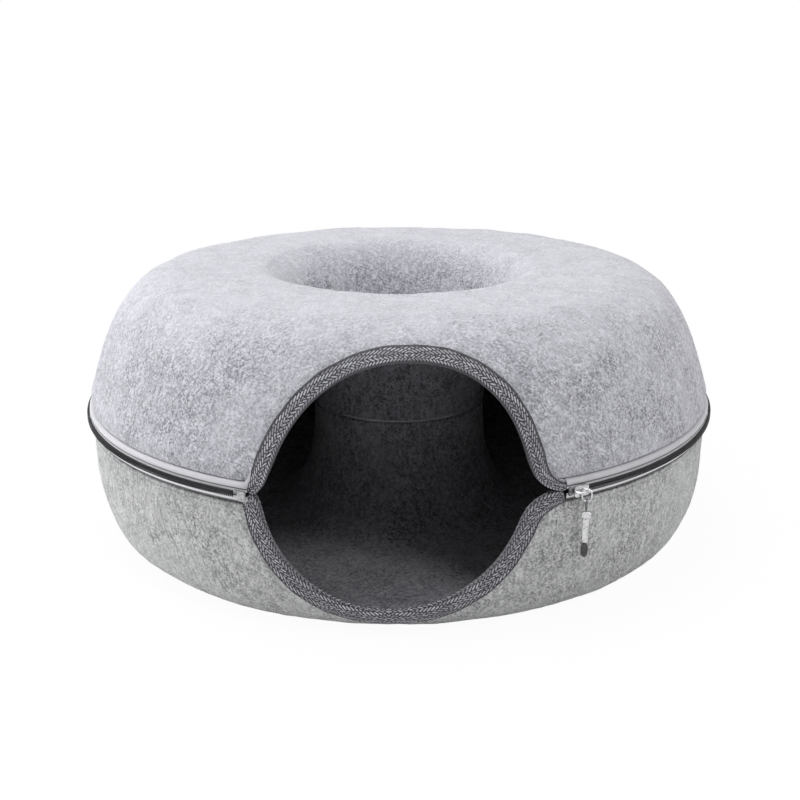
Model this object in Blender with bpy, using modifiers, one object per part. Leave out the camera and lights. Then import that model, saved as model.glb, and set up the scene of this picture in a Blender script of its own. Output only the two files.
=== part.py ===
"""Donut cat tunnel.

A ring-shaped felt tunnel in two moulded halves. A zip round the outside and a second zip round the
hole join the halves. A round entrance is cut through both halves at the front, and its edge is bound
in folded webbing. The outer zip starts at a box left of the entrance, and its slider is parked right
of it with a pull on a D-shaped loop.

Metres, +Z up. The underside lies on z = 0, the entrance faces -Y, and the middle of the whole outline
is over the origin, so the axis of the ring stands a little in front of it.
"""

import math
from dataclasses import dataclass

import bmesh
import bpy
from mathutils import Matrix, Vector

# Whole tunnel
OVERALL_DIAMETER = 0.500
OVERALL_HEIGHT = 0.203
FELT = 0.004
CLEARANCE = 0.0003
RUNNING_GAP = 0.0005
OVERRUN = 0.010
MERGE_DISTANCE = 0.00002
RING_STEPS = 48
HOLE_ZIP_STEPS = 36

# Felt moulding
OUTER_ZIP_HEIGHT = 0.098
HOLE_ZIP_DROP = 0.006
UPPER_FELT_EDGE = 0.0093
LOWER_FELT_EDGE = 0.0075
HOLE_FELT_EDGE = 0.0010
HOLE_RADIUS = 0.066
FUNNEL_REACH = 0.046
CREST_WIDTH = 0.040
CONE_REACH = 0.046
BASE_INSET = 0.035
CREST_POWER = 3.8
CREST_WALL_POWER = 0.95
FUNNEL_POWER = 1.8
BASE_POWER = 2.6
CONE_POWER = 2.0
CREST_STEPS = 7
BASE_STEPS = 6
HUB_STEPS = 4

# Entrance, measured along the felt
ENTRANCE_HALF_WIDTH = 0.0845
ENTRANCE_OFFSET = -0.002
UPPER_RISE = 0.093
SILL = 0.0322
UPPER_ARCH_POWER = 2.16
LOWER_ARCH_POWER = 1.83
UPPER_LEAN = 0.093
LOWER_LEAN = -0.034
RIGHT_FLARE = 0.026
LEFT_FLARE = 0.009
FLARE_FALL = 0.007
ARCH_STEPS = 32
BINDING_WIDTH = 0.0125
WEBBING = 0.0012
TIP_WIDTH_SHARE = 0.35
TIP_FALL = 0.012
BLOCK_OUTSIDE = 0.012
BLOCK_INSIDE = 0.010
BLOCK_OUTER_PEAK = 0.030
BLOCK_INNER_PEAK = 0.060
PEAK_HEIGHT_SHARE = 0.2
NORMAL_SPAN = 0.004

# Zip chains and tapes
COIL_THICKNESS = 0.0019
COIL_HALF = 0.0023
COIL_PARTING = 0.00015
COIL_CHAMFER = 0.0004
TAPE_THICKNESS = 0.0008
TAPE_STAND = 0.0023
TAPE_MARGIN = 0.0009
SEAM = 0.008
HOLE_TAPE_STEP = 0.002
HOLE_TAPE_END = 0.0015

# Zip ends
STOP_LENGTH = 0.0024
STOP_HEIGHT = 0.0027
STOP_THICKNESS = 0.0021
BOX_LENGTH = 0.0050
BOX_HEIGHT = 0.0034
BOX_THICKNESS = 0.0023
PIN_LENGTH = 0.0085
HOLE_PIN_LENGTH = 0.0060
PIN_HEIGHT = 0.0024
END_ROUNDING = 0.0004
COIL_START = 0.0005

# Sliders
SLIDER_LENGTH = 0.0110
HOLE_SLIDER_LENGTH = 0.0090
SLIDER_PLATE = 0.0012
FLANGE = 0.0006
SLIDER_FLARE = 0.0006
PLATE_LIP = 0.0002
POST_THICKNESS = 0.0024
POST_LENGTH = 0.0030
POST_INSET = 0.0004
CROWN_WIRE = 0.0008
CROWN_STAND = 0.0029
CROWN_INSET = 0.0009
CROWN_STEPS = 8
NOSE_SHARES = ((-0.5, 0.5), (-0.42, 0.85), (-0.25, 1.0))
REAR_SHARES = ((0.0, 1.0), (0.46, 1.0), (0.5, 0.85))

# Outer pull
LOOP_WIRE = 0.0007
LOOP_HALF_WIDTH = 0.00305
LOOP_TOP = 0.0018
LOOP_DROP = 0.0063
LOOP_SLIP = 0.0020
LOOP_YAW = math.radians(52)
LINK_WIRE = 0.0006
LINK_HALF_WIDTH = 0.0017
LINK_LENGTH = 0.0078
COLLAR_WIDTH = 0.0067
COLLAR_HEIGHT = 0.0050
COLLAR_THICKNESS = 0.0034
BAR_WIDTH = 0.0046
BAR_LENGTH = 0.0165
BAR_THICKNESS = 0.0022
GRIP_WIDTH = 0.0047
GRIP_LENGTH = 0.0102
GRIP_THICKNESS = 0.0020
GRIP_SLOT_WIDTH = 0.0018
GRIP_SLOT_LENGTH = 0.0062
PULL_ROUNDING = 0.0005
WIRE_STEPS = 16
END_STEPS = 6
CROWN_SHARE = 2 / 3.2
LOOP_POWER = 2.6
LINK_POWER = 2.4

# Pull on the hole's zip
HOLE_LOOP_WIRE = 0.0005
HOLE_LOOP_DROP = 0.0060
TAB_WIDTH = 0.0050
TAB_LENGTH = 0.0150
TAB_THICKNESS = 0.0012
TAB_EYE_RADIUS = 0.0011
TAB_EYE_RIM = 0.0012

# Finishes
FELT_GREY = (0.50, 0.50, 0.53)
TAPE_GREY = (0.62, 0.61, 0.65)
COIL_GREY = (0.03, 0.03, 0.036)
WEBBING_GREY = (0.17, 0.17, 0.185)
METAL_GREY = (0.72, 0.72, 0.74)
DARK_GREY = (0.05, 0.05, 0.055)
SMOOTH_ANGLE = math.radians(35)

# Radii and heights that follow from the sizes above
HOLE_ZIP_HEIGHT = OUTER_ZIP_HEIGHT - HOLE_ZIP_DROP
OUTER_TAPE_FACE = OVERALL_DIAMETER / 2 - COIL_THICKNESS - CLEARANCE
WALL_RADIUS = OUTER_TAPE_FACE - TAPE_STAND
HOLE_TAPE_FACE = HOLE_RADIUS - RUNNING_GAP - SLIDER_PLATE - RUNNING_GAP - TAPE_THICKNESS
SLIDER_REAR_HALF = COIL_HALF + RUNNING_GAP + FLANGE + PLATE_LIP
SLIDER_NOSE_HALF = SLIDER_REAR_HALF + SLIDER_FLARE
TAPE_UPRIGHT = SLIDER_NOSE_HALF + RUNNING_GAP
TAPE_PARTING = POST_THICKNESS / 2 + RUNNING_GAP
HOLE_SEAM_START = TAPE_UPRIGHT + HOLE_TAPE_STEP
OUTER_BAND = SEAM + CLEARANCE
HOLE_BAND = HOLE_SEAM_START + SEAM + CLEARANCE - HOLE_FELT_EDGE
BINDING_STAND = CLEARANCE + WEBBING
FRONT = -math.pi / 2
BACK = math.pi / 2


@dataclass(frozen=True)
class Half:
    """What differs between the two felt halves."""

    name: str
    side: int
    level: float
    felt_edge: float
    shoulder_radius: float
    shoulder_power: float
    wall_power: float
    shoulder_steps: int
    lip_radius: float
    hub_power: float
    arch_power: float
    lean: float

    @property
    def outer_edge(self) -> float:
        """Height of the felt's edge at the outer zip."""
        return OUTER_ZIP_HEIGHT + self.side * self.felt_edge

    @property
    def hole_edge(self) -> float:
        """Height of the felt's edge at the hole's zip."""
        return HOLE_ZIP_HEIGHT + self.side * HOLE_FELT_EDGE


UPPER = Half(
    name="upper",
    side=1,
    level=OVERALL_HEIGHT,
    felt_edge=UPPER_FELT_EDGE,
    shoulder_radius=HOLE_RADIUS + FUNNEL_REACH + CREST_WIDTH,
    shoulder_power=CREST_POWER,
    wall_power=CREST_WALL_POWER,
    shoulder_steps=CREST_STEPS,
    lip_radius=HOLE_RADIUS + FUNNEL_REACH,
    hub_power=FUNNEL_POWER,
    arch_power=UPPER_ARCH_POWER,
    lean=UPPER_LEAN,
)
LOWER = Half(
    name="lower",
    side=-1,
    level=0,
    felt_edge=LOWER_FELT_EDGE,
    shoulder_radius=WALL_RADIUS - BASE_INSET,
    shoulder_power=BASE_POWER,
    wall_power=BASE_POWER,
    shoulder_steps=BASE_STEPS,
    lip_radius=HOLE_RADIUS + CONE_REACH,
    hub_power=CONE_POWER,
    arch_power=LOWER_ARCH_POWER,
    lean=LOWER_LEAN,
)


@dataclass(frozen=True)
class Zip:
    """A zip round the ring: facing is 1 where its chain faces away from the axis, -1 towards it."""

    name: str
    facing: int
    height: float
    face: float
    seam_face: float
    steps: int
    slider_length: float
    start: float

    @property
    def coil_back(self) -> float:
        """Radius of the coils' face on the tape."""
        return self.face + self.facing * CLEARANCE

    @property
    def coil_front(self) -> float:
        """Radius of the coils' open face."""
        return self.coil_back + self.facing * COIL_THICKNESS

    @property
    def sag(self) -> float:
        """How far the middle of a flat of this ring lies inside its circle."""
        return self.face * (1 - math.cos(math.pi / self.steps))

    @property
    def front_gap(self) -> float:
        """From the tape's face to the slider's front plate."""
        return CLEARANCE + COIL_THICKNESS + RUNNING_GAP + (self.sag if self.facing < 0 else 0)

    @property
    def back_gap(self) -> float:
        """From the tape's face to the slider's back plate."""
        return TAPE_THICKNESS + RUNNING_GAP + (self.sag if self.facing > 0 else 0)

    @property
    def crown_height(self) -> float:
        """From the tape's face to the middle of the crown's wire."""
        return self.front_gap + SLIDER_PLATE + CROWN_STAND

    def azimuth(self, arc: float) -> float:
        """Angle of a place that lies this far round the zip from its middle."""
        radius = WALL_RADIUS if self.facing > 0 else HOLE_RADIUS
        return self.start + arc / radius

    def frame(self, arc: float) -> Matrix:
        """A place on the tape's face: X along the zip to its closed part, Y up, Z off the tape."""
        azimuth = self.azimuth(arc)
        out = Vector((math.cos(azimuth), math.sin(azimuth), 0)) * self.facing
        up = Vector((0, 0, 1))
        matrix = Matrix((up.cross(out), up, out)).transposed().to_4x4()
        matrix.translation = out * self.facing * self.face + up * self.height
        return matrix


OUTER_ZIP = Zip(
    name="outer_zip",
    facing=1,
    height=OUTER_ZIP_HEIGHT,
    face=OUTER_TAPE_FACE,
    seam_face=WALL_RADIUS - FELT - CLEARANCE,
    steps=RING_STEPS,
    slider_length=SLIDER_LENGTH,
    start=FRONT,
)
HOLE_ZIP = Zip(
    name="inner_zip",
    facing=-1,
    height=HOLE_ZIP_HEIGHT,
    face=HOLE_TAPE_FACE,
    seam_face=HOLE_RADIUS - CLEARANCE - TAPE_THICKNESS,
    steps=HOLE_ZIP_STEPS,
    slider_length=HOLE_SLIDER_LENGTH,
    start=BACK,
)


# Profiles of the felt


def quarter(start, end, start_power, end_power, steps):
    """A quarter turn in section that ends level, with a superellipse's power for each end."""
    points = []
    for step in range(steps + 1):
        turn = math.pi / 2 * step / steps
        across = max(math.cos(turn), 0) ** (2 / end_power)
        along = math.sin(turn) ** (2 / start_power)
        points.append((end[0] + (start[0] - end[0]) * across, start[1] + (end[1] - start[1]) * along))
    return points


def wall_profile(half, start):
    """The wall's outer face in section, from a height on its upright band to the shoulder."""
    band = (WALL_RADIUS, half.outer_edge + half.side * OUTER_BAND)
    shoulder = (half.shoulder_radius, half.level)
    turn = quarter(band, shoulder, half.wall_power, half.shoulder_power, half.shoulder_steps)
    return [(WALL_RADIUS, start)] + turn


def skin_profile(half):
    """The felt's outer face in section, from the outer zip over to the hole's zip."""
    band = (HOLE_RADIUS, half.hole_edge + half.side * HOLE_BAND)
    hub = quarter(band, (half.lip_radius, half.level), half.hub_power, half.hub_power, HUB_STEPS)
    return wall_profile(half, half.outer_edge) + hub[::-1] + [(HOLE_RADIUS, half.hole_edge)]


def wall_track(half):
    """The wall's outer face from the zip's plane up or down, with the length walked to each point."""
    points = wall_profile(half, OUTER_ZIP_HEIGHT)
    lengths = [0]
    for before, after in zip(points, points[1:]):
        lengths.append(lengths[-1] + math.dist(before, after))
    return points, lengths


def track_point(half, length):
    """The point of the wall's section this far along it. Before its start the wall runs straight on."""
    points, lengths = wall_track(half)
    if length <= 0:
        return WALL_RADIUS, OUTER_ZIP_HEIGHT + half.side * length
    for index in range(len(points) - 1):
        if length <= lengths[index + 1] or index == len(points) - 2:
            share = (length - lengths[index]) / (lengths[index + 1] - lengths[index])
            (r0, z0), (r1, z1) = points[index], points[index + 1]
            return r0 + (r1 - r0) * share, z0 + (z1 - z0) * share


def skin_point(half, across, height, push):
    """A place near the wall: across and height are measured along the felt from the front of the zip."""
    radius, level = track_point(half, height)
    r0, z0 = track_point(half, height - NORMAL_SPAN)
    r1, z1 = track_point(half, height + NORMAL_SPAN)
    span = math.hypot(r1 - r0, z1 - z0)
    radius += push * half.side * (z1 - z0) / span
    level -= push * half.side * (r1 - r0) / span
    azimuth = OUTER_ZIP.azimuth(across)
    return Vector((radius * math.cos(azimuth), radius * math.sin(azimuth), level))


# Outline of the entrance


def arch_height(half):
    """How far the entrance runs along the felt above or below the zip."""
    if half.side > 0:
        return UPPER_RISE
    return wall_track(half)[1][-1] - SILL


def entrance_outline(half):
    """The cut edge of the felt as (across, height) points, from the right tip over to the left one."""
    points = []
    for step in range(ARCH_STEPS + 1):
        turn = math.pi / 2 * (1 - math.cos(math.pi * step / ARCH_STEPS))
        right = math.cos(turn) > 0
        height = arch_height(half) * max(math.sin(turn), 0) ** (2 / half.arch_power)
        width = ENTRANCE_HALF_WIDTH * abs(math.cos(turn)) ** (2 / half.arch_power)
        width += (RIGHT_FLARE if right else LEFT_FLARE) * math.exp(-height / FLARE_FALL)
        middle = ENTRANCE_OFFSET + half.lean * height
        points.append((middle + width if right else middle - width, height))
    return points


def moved_outline(half, margin, tapered=False):
    """The entrance's outline moved off the opening by a margin, which narrows at tapered tips."""
    points = entrance_outline(half)
    moved = []
    for index, (across, height) in enumerate(points):
        before = points[max(index - 1, 0)]
        after = points[min(index + 1, ARCH_STEPS)]
        run = Vector((after[0] - before[0], after[1] - before[1])).normalized()
        share = 1
        if tapered:
            share -= (1 - TIP_WIDTH_SHARE) * math.exp(-height / TIP_FALL)
        moved.append((across + run.y * margin * share, height - run.x * margin * share))
    return moved


def binding_reach():
    """How far the binding's tips run along the zip, left and right of the middle of the front."""
    across = [
        point[0]
        for half in (UPPER, LOWER)
        for margin in (-BINDING_STAND, BINDING_WIDTH)
        for point in moved_outline(half, margin, margin > 0)
    ]
    return min(across), max(across)


def front_reach():
    """How far the front of the tunnel stands out from the axis of the ring, at the binding."""
    reach = 0
    for half in (UPPER, LOWER):
        for margin in (-BINDING_STAND, 0):
            for across, height in moved_outline(half, margin):
                reach = max(reach, -skin_point(half, across, max(height, 0), BINDING_STAND).y)
    return reach


AXIS_Y = (front_reach() - OVERALL_DIAMETER / 2) / 2
LEFT_TIP, RIGHT_TIP = binding_reach()

# Places along the outer zip, as arcs from the middle of the front
TAPE_RIGHT = RIGHT_TIP + TAPE_MARGIN
TAPE_LEFT = LEFT_TIP - TAPE_MARGIN
STOP_ARC = TAPE_RIGHT + CLEARANCE + STOP_LENGTH / 2
SLIDER_ARC = STOP_ARC + STOP_LENGTH / 2 + CLEARANCE + SLIDER_LENGTH / 2
BOX_ARC = TAPE_LEFT - CLEARANCE - BOX_LENGTH / 2
PIN_ARC = TAPE_LEFT - CLEARANCE - PIN_LENGTH / 2
COIL_LEFT = PIN_ARC - PIN_LENGTH / 2 - CLEARANCE

# Places along the hole's zip, as arcs from the middle of its back
HOLE_STOP_ARC = -HOLE_TAPE_END - CLEARANCE - STOP_LENGTH / 2
HOLE_SLIDER_ARC = HOLE_STOP_ARC - STOP_LENGTH / 2 - CLEARANCE - HOLE_SLIDER_LENGTH / 2
HOLE_BOX_ARC = HOLE_TAPE_END + CLEARANCE + BOX_LENGTH / 2
HOLE_PIN_ARC = HOLE_TAPE_END + CLEARANCE + HOLE_PIN_LENGTH / 2
HOLE_COIL_START = HOLE_PIN_ARC + HOLE_PIN_LENGTH / 2 + CLEARANCE


# Scene helpers


def clear_scene():
    """Removes every object that the scene starts with."""
    for obj in list(bpy.data.objects):
        bpy.data.objects.remove(obj, do_unlink=True)


def new_collection(name, helper=False):
    """Adds a collection to the scene. A helper's collection doesn't render."""
    collection = bpy.data.collections.new(name)
    collection.hide_render = helper
    bpy.context.scene.collection.children.link(collection)
    return collection


def empty(name, parent=None, matrix=None):
    """Adds an empty that carries the pieces of one body."""
    obj = bpy.data.objects.new(name, None)
    PARTS.objects.link(obj)
    obj.parent = parent
    if matrix is not None:
        obj.matrix_local = matrix
    return obj


def place(name, data, parent, matrix=None, cutter=False):
    """Adds an object under its parent. A cutter shapes other objects and is no piece itself."""
    obj = bpy.data.objects.new(name, data)
    (CUTTERS if cutter else PARTS).objects.link(obj)
    obj.parent = parent
    if matrix is not None:
        obj.matrix_local = matrix
    if cutter:
        obj.hide_render = True
        obj.display_type = "WIRE"
    return obj


def finish(obj, colour, roughness, metallic=0):
    """Gives an object its own material and smooth shading."""
    material = bpy.data.materials.new(obj.name)
    material.use_nodes = True
    shader = material.node_tree.nodes["Principled BSDF"]
    shader.inputs["Base Color"].default_value = (*colour, 1)
    shader.inputs["Roughness"].default_value = roughness
    shader.inputs["Metallic"].default_value = metallic
    obj.data.materials.append(material)
    if obj.type == "MESH":
        obj.data.shade_smooth()
        obj.data.set_sharp_from_angle(angle=SMOOTH_ANGLE)
    return obj


def cut(obj, tool, operation="DIFFERENCE"):
    """Adds a Boolean with a tool to an object."""
    modifier = obj.modifiers.new(tool.name, "BOOLEAN")
    modifier.operation = operation
    modifier.object = tool
    return modifier


def turned(name, points, parent, steps, cutter=False):
    """Turns a section of (radius, height) points round the axis of the ring."""
    mesh = bpy.data.meshes.new(name)
    order = range(len(points))
    mesh.from_pydata([(radius, 0, height) for radius, height in points], list(zip(order, order[1:])), [])
    obj = place(name, mesh, parent, cutter=cutter)
    screw = obj.modifiers.new("Turn", "SCREW")
    screw.steps = steps
    screw.render_steps = steps
    screw.use_merge_vertices = True
    screw.merge_threshold = MERGE_DISTANCE
    return obj


def turned_ring(name, section, parent, steps):
    """Turns a closed section into a solid ring. The section runs down its outer side."""
    area = sum(a[0] * b[1] - b[0] * a[1] for a, b in zip(section, section[1:] + section[:1]))
    section = section[::-1] if area > 0 else section
    return turned(name, section + section[:1], parent, steps)


def thickened(obj, inwards, outwards=0):
    """Thickens a turned skin by an amount on each side of it."""
    solidify = obj.modifiers.new("Thickness", "SOLIDIFY")
    solidify.thickness = inwards + outwards
    solidify.offset = 2 * outwards / (inwards + outwards) - 1
    solidify.use_even_offset = True
    solidify.use_rim = True
    return obj


def mesh_of_curve(curve):
    """The welded mesh of a curve, so that Booleans can use it."""
    obj = bpy.data.objects.new(curve.name, curve)
    bpy.context.scene.collection.objects.link(obj)
    graph = bpy.context.evaluated_depsgraph_get()
    mesh = bpy.data.meshes.new_from_object(obj.evaluated_get(graph))
    bpy.data.objects.remove(obj, do_unlink=True)
    work = bmesh.new()
    work.from_mesh(mesh)
    bmesh.ops.remove_doubles(work, verts=work.verts, dist=MERGE_DISTANCE)
    bmesh.ops.recalc_face_normals(work, faces=work.faces)
    work.to_mesh(mesh)
    work.free()
    return mesh


def add_spline(curve, points, cyclic=True):
    """Adds a POLY spline through some points to a curve."""
    spline = curve.splines.new("POLY")
    spline.points.add(len(points) - 1)
    for target, point in zip(spline.points, points):
        target.co = (*point, *([0] * (3 - len(point))), 1)
    spline.use_cyclic_u = cyclic


def plate(name, outlines, thickness):
    """The mesh of a flat plate with an outline and any holes in it, in the XY plane."""
    curve = bpy.data.curves.new(name, "CURVE")
    curve.dimensions = "2D"
    curve.fill_mode = "BOTH"
    curve.extrude = thickness / 2
    for outline in outlines:
        add_spline(curve, outline)
    return mesh_of_curve(curve)


def wire(name, points, radius, cyclic=True):
    """A curve with a round section through some points."""
    curve = bpy.data.curves.new(name, "CURVE")
    curve.dimensions = "3D"
    curve.bevel_depth = radius
    curve.bevel_resolution = 1
    curve.use_fill_caps = not cyclic
    add_spline(curve, points, cyclic)
    return curve


def block(name, size, rounding=0):
    """The mesh of a box about its own middle, with its edges bevelled."""
    mesh = bpy.data.meshes.new(name)
    work = bmesh.new()
    bmesh.ops.create_cube(work, size=1)
    bmesh.ops.scale(work, vec=size, verts=work.verts)
    if rounding:
        bmesh.ops.bevel(work, geom=work.edges, offset=rounding, segments=1, affect="EDGES")
    work.to_mesh(mesh)
    work.free()
    return mesh


def oval(half_width, top, bottom, power):
    """A closed superellipse between two heights, as points of the XY plane."""
    middle, half_height = (top + bottom) / 2, (top - bottom) / 2
    points = []
    for step in range(WIRE_STEPS):
        turn = 2 * math.pi * step / WIRE_STEPS
        x = math.copysign(abs(math.cos(turn)) ** (2 / power), math.cos(turn))
        y = math.copysign(abs(math.sin(turn)) ** (2 / power), math.sin(turn))
        points.append((half_width * x, middle + half_height * y))
    return points


def stadium(width, top, length):
    """The outline of a strip with round ends that hangs from a height, as points of the XY plane."""
    radius = width / 2
    points = []
    for centre, first in ((top - radius, 0), (top - length + radius, math.pi)):
        for step in range(END_STEPS + 1):
            turn = first + math.pi * step / END_STEPS
            points.append((radius * math.cos(turn), centre + radius * math.sin(turn)))
    return points


# Cutters of the entrance


def arch_block(name, half, margin, parent, tapered=False):
    """A block through the wall whose side follows the entrance's outline, moved by a margin."""
    outline = moved_outline(half, margin, tapered)
    outline = [(outline[0][0], -OVERRUN)] + outline + [(outline[-1][0], -OVERRUN)]
    peak = arch_height(half) * PEAK_HEIGHT_SHARE
    work = bmesh.new()
    outer = [work.verts.new(skin_point(half, *point, BLOCK_OUTSIDE)) for point in outline]
    inner = [work.verts.new(skin_point(half, *point, -BLOCK_INSIDE)) for point in outline]
    outer_peak = work.verts.new(skin_point(half, ENTRANCE_OFFSET, peak, BLOCK_OUTER_PEAK))
    inner_peak = work.verts.new(skin_point(half, ENTRANCE_OFFSET, peak, -BLOCK_INNER_PEAK))
    for index in range(len(outline)):
        after = (index + 1) % len(outline)
        work.faces.new((outer[index], outer[after], inner[index]))
        work.faces.new((outer[after], inner[after], inner[index]))
        work.faces.new((outer[after], outer[index], outer_peak))
        work.faces.new((inner[index], inner[after], inner_peak))
    bmesh.ops.recalc_face_normals(work, faces=work.faces)
    mesh = bpy.data.meshes.new(name)
    work.to_mesh(mesh)
    work.free()
    return place(name, mesh, parent, cutter=True)


def wedge(name, zip_, start, stop, parent):
    """A wedge from the axis of the ring that opens between two arcs of a zip."""
    corners = [(0, 0)]
    for arc in (start, stop):
        azimuth = zip_.azimuth(arc)
        corners.append((OVERALL_DIAMETER * math.cos(azimuth), OVERALL_DIAMETER * math.sin(azimuth)))
    mesh = plate(name, [corners], OVERALL_HEIGHT)
    return place(name, mesh, parent, Matrix.Translation((0, 0, zip_.height)), cutter=True)


# Felt and binding


def wall_skin(name, half, start, parent, cutter=False):
    """The wall's outer face as a turned skin from a height up or down to the shoulder."""
    points = wall_profile(half, start)
    return turned(name, points[::-1] if half.side > 0 else points, parent, RING_STEPS, cutter)


def make_half(half, parent):
    """The moulded felt of one half, and the webbing folded over the edge of its entrance."""
    points = skin_profile(half)
    name = f"{half.name}_shell"
    shell = turned(name, points[::-1] if half.side > 0 else points, parent, RING_STEPS)
    thickened(shell, FELT)
    cut(shell, arch_block(f"{half.name}_entrance", half, 0, parent))
    finish(shell, FELT_GREY, 0.95)

    envelope = wall_skin(f"{half.name}_felt_space", half, half.outer_edge - half.side * CLEARANCE, parent, True)
    thickened(envelope, FELT + CLEARANCE, CLEARANCE)
    cut(envelope, arch_block(f"{half.name}_felt_space_edge", half, -CLEARANCE, parent))

    binding = wall_skin(f"{half.name}_arch_binding", half, OUTER_ZIP_HEIGHT + half.side * CLEARANCE, parent)
    thickened(binding, FELT + BINDING_STAND, BINDING_STAND)
    cut(binding, arch_block(f"{half.name}_binding_edge", half, BINDING_WIDTH, parent, True), "INTERSECT")
    cut(binding, arch_block(f"{half.name}_binding_fold", half, -BINDING_STAND, parent))
    cut(binding, envelope)
    finish(binding, WEBBING_GREY, 0.9)


# Zips


def tape_section(zip_, side, bend):
    """The tape in section: upright beside the coil, then stepped to its seam on the felt."""
    front = [
        (zip_.face, TAPE_PARTING),
        (zip_.face, TAPE_UPRIGHT),
        (zip_.seam_face, bend),
        (zip_.seam_face, bend + SEAM),
    ]
    back = [(radius - zip_.facing * TAPE_THICKNESS, height) for radius, height in reversed(front)]
    return [(radius, zip_.height + side * height) for radius, height in front + back]


def coil_section(zip_, side):
    """One coil in section, with its open corners rounded off."""
    front, back = zip_.coil_front, zip_.coil_back
    shoulder = front - zip_.facing * COIL_CHAMFER
    points = [
        (back, COIL_PARTING),
        (shoulder, COIL_PARTING),
        (front, COIL_PARTING + COIL_CHAMFER),
        (front, COIL_HALF - COIL_CHAMFER),
        (shoulder, COIL_HALF),
        (back, COIL_HALF),
    ]
    return [(radius, zip_.height + side * height) for radius, height in points]


def end_piece(name, zip_, side, arc, size, parent):
    """A stop, pin or box that lies on the tape beside the parting line of the zip."""
    length, height, thickness = size
    middle = Vector((0, side * (COIL_PARTING + height / 2), CLEARANCE + thickness / 2))
    matrix = zip_.frame(arc) @ Matrix.Translation(middle)
    obj = place(name, block(name, size, END_ROUNDING), parent, matrix)
    return finish(obj, METAL_GREY, 0.35, 1)


def make_zip_side(zip_, half, bend, tape_gap, coil_gap, parent):
    """One tape of a zip with its coil, each a ring with a wedge out of it."""
    prefix = f"{zip_.name}_{half.name}"
    tape = turned_ring(f"{prefix}_tape", tape_section(zip_, half.side, bend), parent, zip_.steps)
    cut(tape, tape_gap)
    finish(tape, TAPE_GREY, 0.9)
    coil = turned_ring(f"{prefix}_coil", coil_section(zip_, half.side), parent, zip_.steps)
    cut(coil, coil_gap)
    finish(coil, COIL_GREY, 0.6)


def make_zip(zip_, bends, tape_ends, coil_ends, arcs, pin_length, bodies):
    """Both sides of a zip with their stops, and the pin and box that it starts from."""
    tape_gap = wedge(f"{zip_.name}_tape_gap", zip_, *tape_ends, bodies[1])
    coil_gap = wedge(f"{zip_.name}_coil_gap", zip_, *coil_ends, bodies[1])
    stop_arc, pin_arc, box_arc = arcs
    stop_size = (STOP_LENGTH, STOP_HEIGHT, STOP_THICKNESS)
    for half, bend, body in zip((UPPER, LOWER), bends, bodies):
        make_zip_side(zip_, half, bend, tape_gap, coil_gap, body)
        end_piece(f"{zip_.name}_{half.name}_stop", zip_, half.side, stop_arc, stop_size, body)
    pin_size = (pin_length, PIN_HEIGHT, COIL_THICKNESS)
    end_piece(f"{zip_.name}_pin", zip_, UPPER.side, pin_arc, pin_size, bodies[0])
    box_size = (BOX_LENGTH, BOX_HEIGHT, BOX_THICKNESS)
    end_piece(f"{zip_.name}_box", zip_, LOWER.side, box_arc, box_size, bodies[1])


# Sliders


def slider_outline(length):
    """Outline of a slider's plates: wide shoulders at the nose, a narrower mouth at the rear."""
    upper = [(x * length, y * SLIDER_NOSE_HALF) for x, y in NOSE_SHARES]
    upper += [(x * length, y * SLIDER_REAR_HALF) for x, y in REAR_SHARES]
    return upper + [(x, -y) for x, y in reversed(upper)]


def make_slider(name, zip_, arc, parent):
    """A slider: two plates held apart by a post, flanges beside the coils and a crown for the pull."""
    length = zip_.slider_length
    frame = zip_.frame(arc)
    outline = slider_outline(length)
    low = -zip_.back_gap - SLIDER_PLATE / 2
    high = zip_.front_gap + SLIDER_PLATE / 2

    def operand(label, mesh, place_at):
        tool = place(f"{name}_{label}", mesh, parent, frame @ Matrix.Translation(place_at), cutter=True)
        cut(slider, tool, "UNION")

    slider = place(name, plate(name, [outline], SLIDER_PLATE), parent, frame @ Matrix.Translation((0, 0, high)))
    operand("back_plate", plate(f"{name}_back_plate", [outline], SLIDER_PLATE), (0, 0, low))
    post = (POST_LENGTH, POST_THICKNESS, high - low)
    post_x = -length / 2 + POST_INSET + POST_LENGTH / 2
    operand("post", block(f"{name}_post", post), (post_x, 0, (high + low) / 2))
    flange_length = REAR_SHARES[1][0] * length
    flange_depth = high - RUNNING_GAP
    flange = (flange_length, FLANGE, flange_depth)
    for label, side in (("upper_flange", 1), ("lower_flange", -1)):
        at = (flange_length / 2, side * (COIL_HALF + RUNNING_GAP + FLANGE / 2), RUNNING_GAP + flange_depth / 2)
        operand(label, block(f"{name}_{label}", flange), at)
    foot = length / 2 - CROWN_INSET
    rise = zip_.crown_height - high
    crown = []
    for step in range(CROWN_STEPS + 1):
        turn = math.pi * step / CROWN_STEPS
        x = math.copysign(abs(math.cos(turn)) ** CROWN_SHARE, math.cos(turn))
        crown.append((foot * x, 0, rise * max(math.sin(turn), 0) ** CROWN_SHARE))
    mesh = mesh_of_curve(wire(f"{name}_crown", crown, CROWN_WIRE, cyclic=False))
    operand("crown", mesh, (0, 0, high))
    return finish(slider, METAL_GREY, 0.3, 1)


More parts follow.
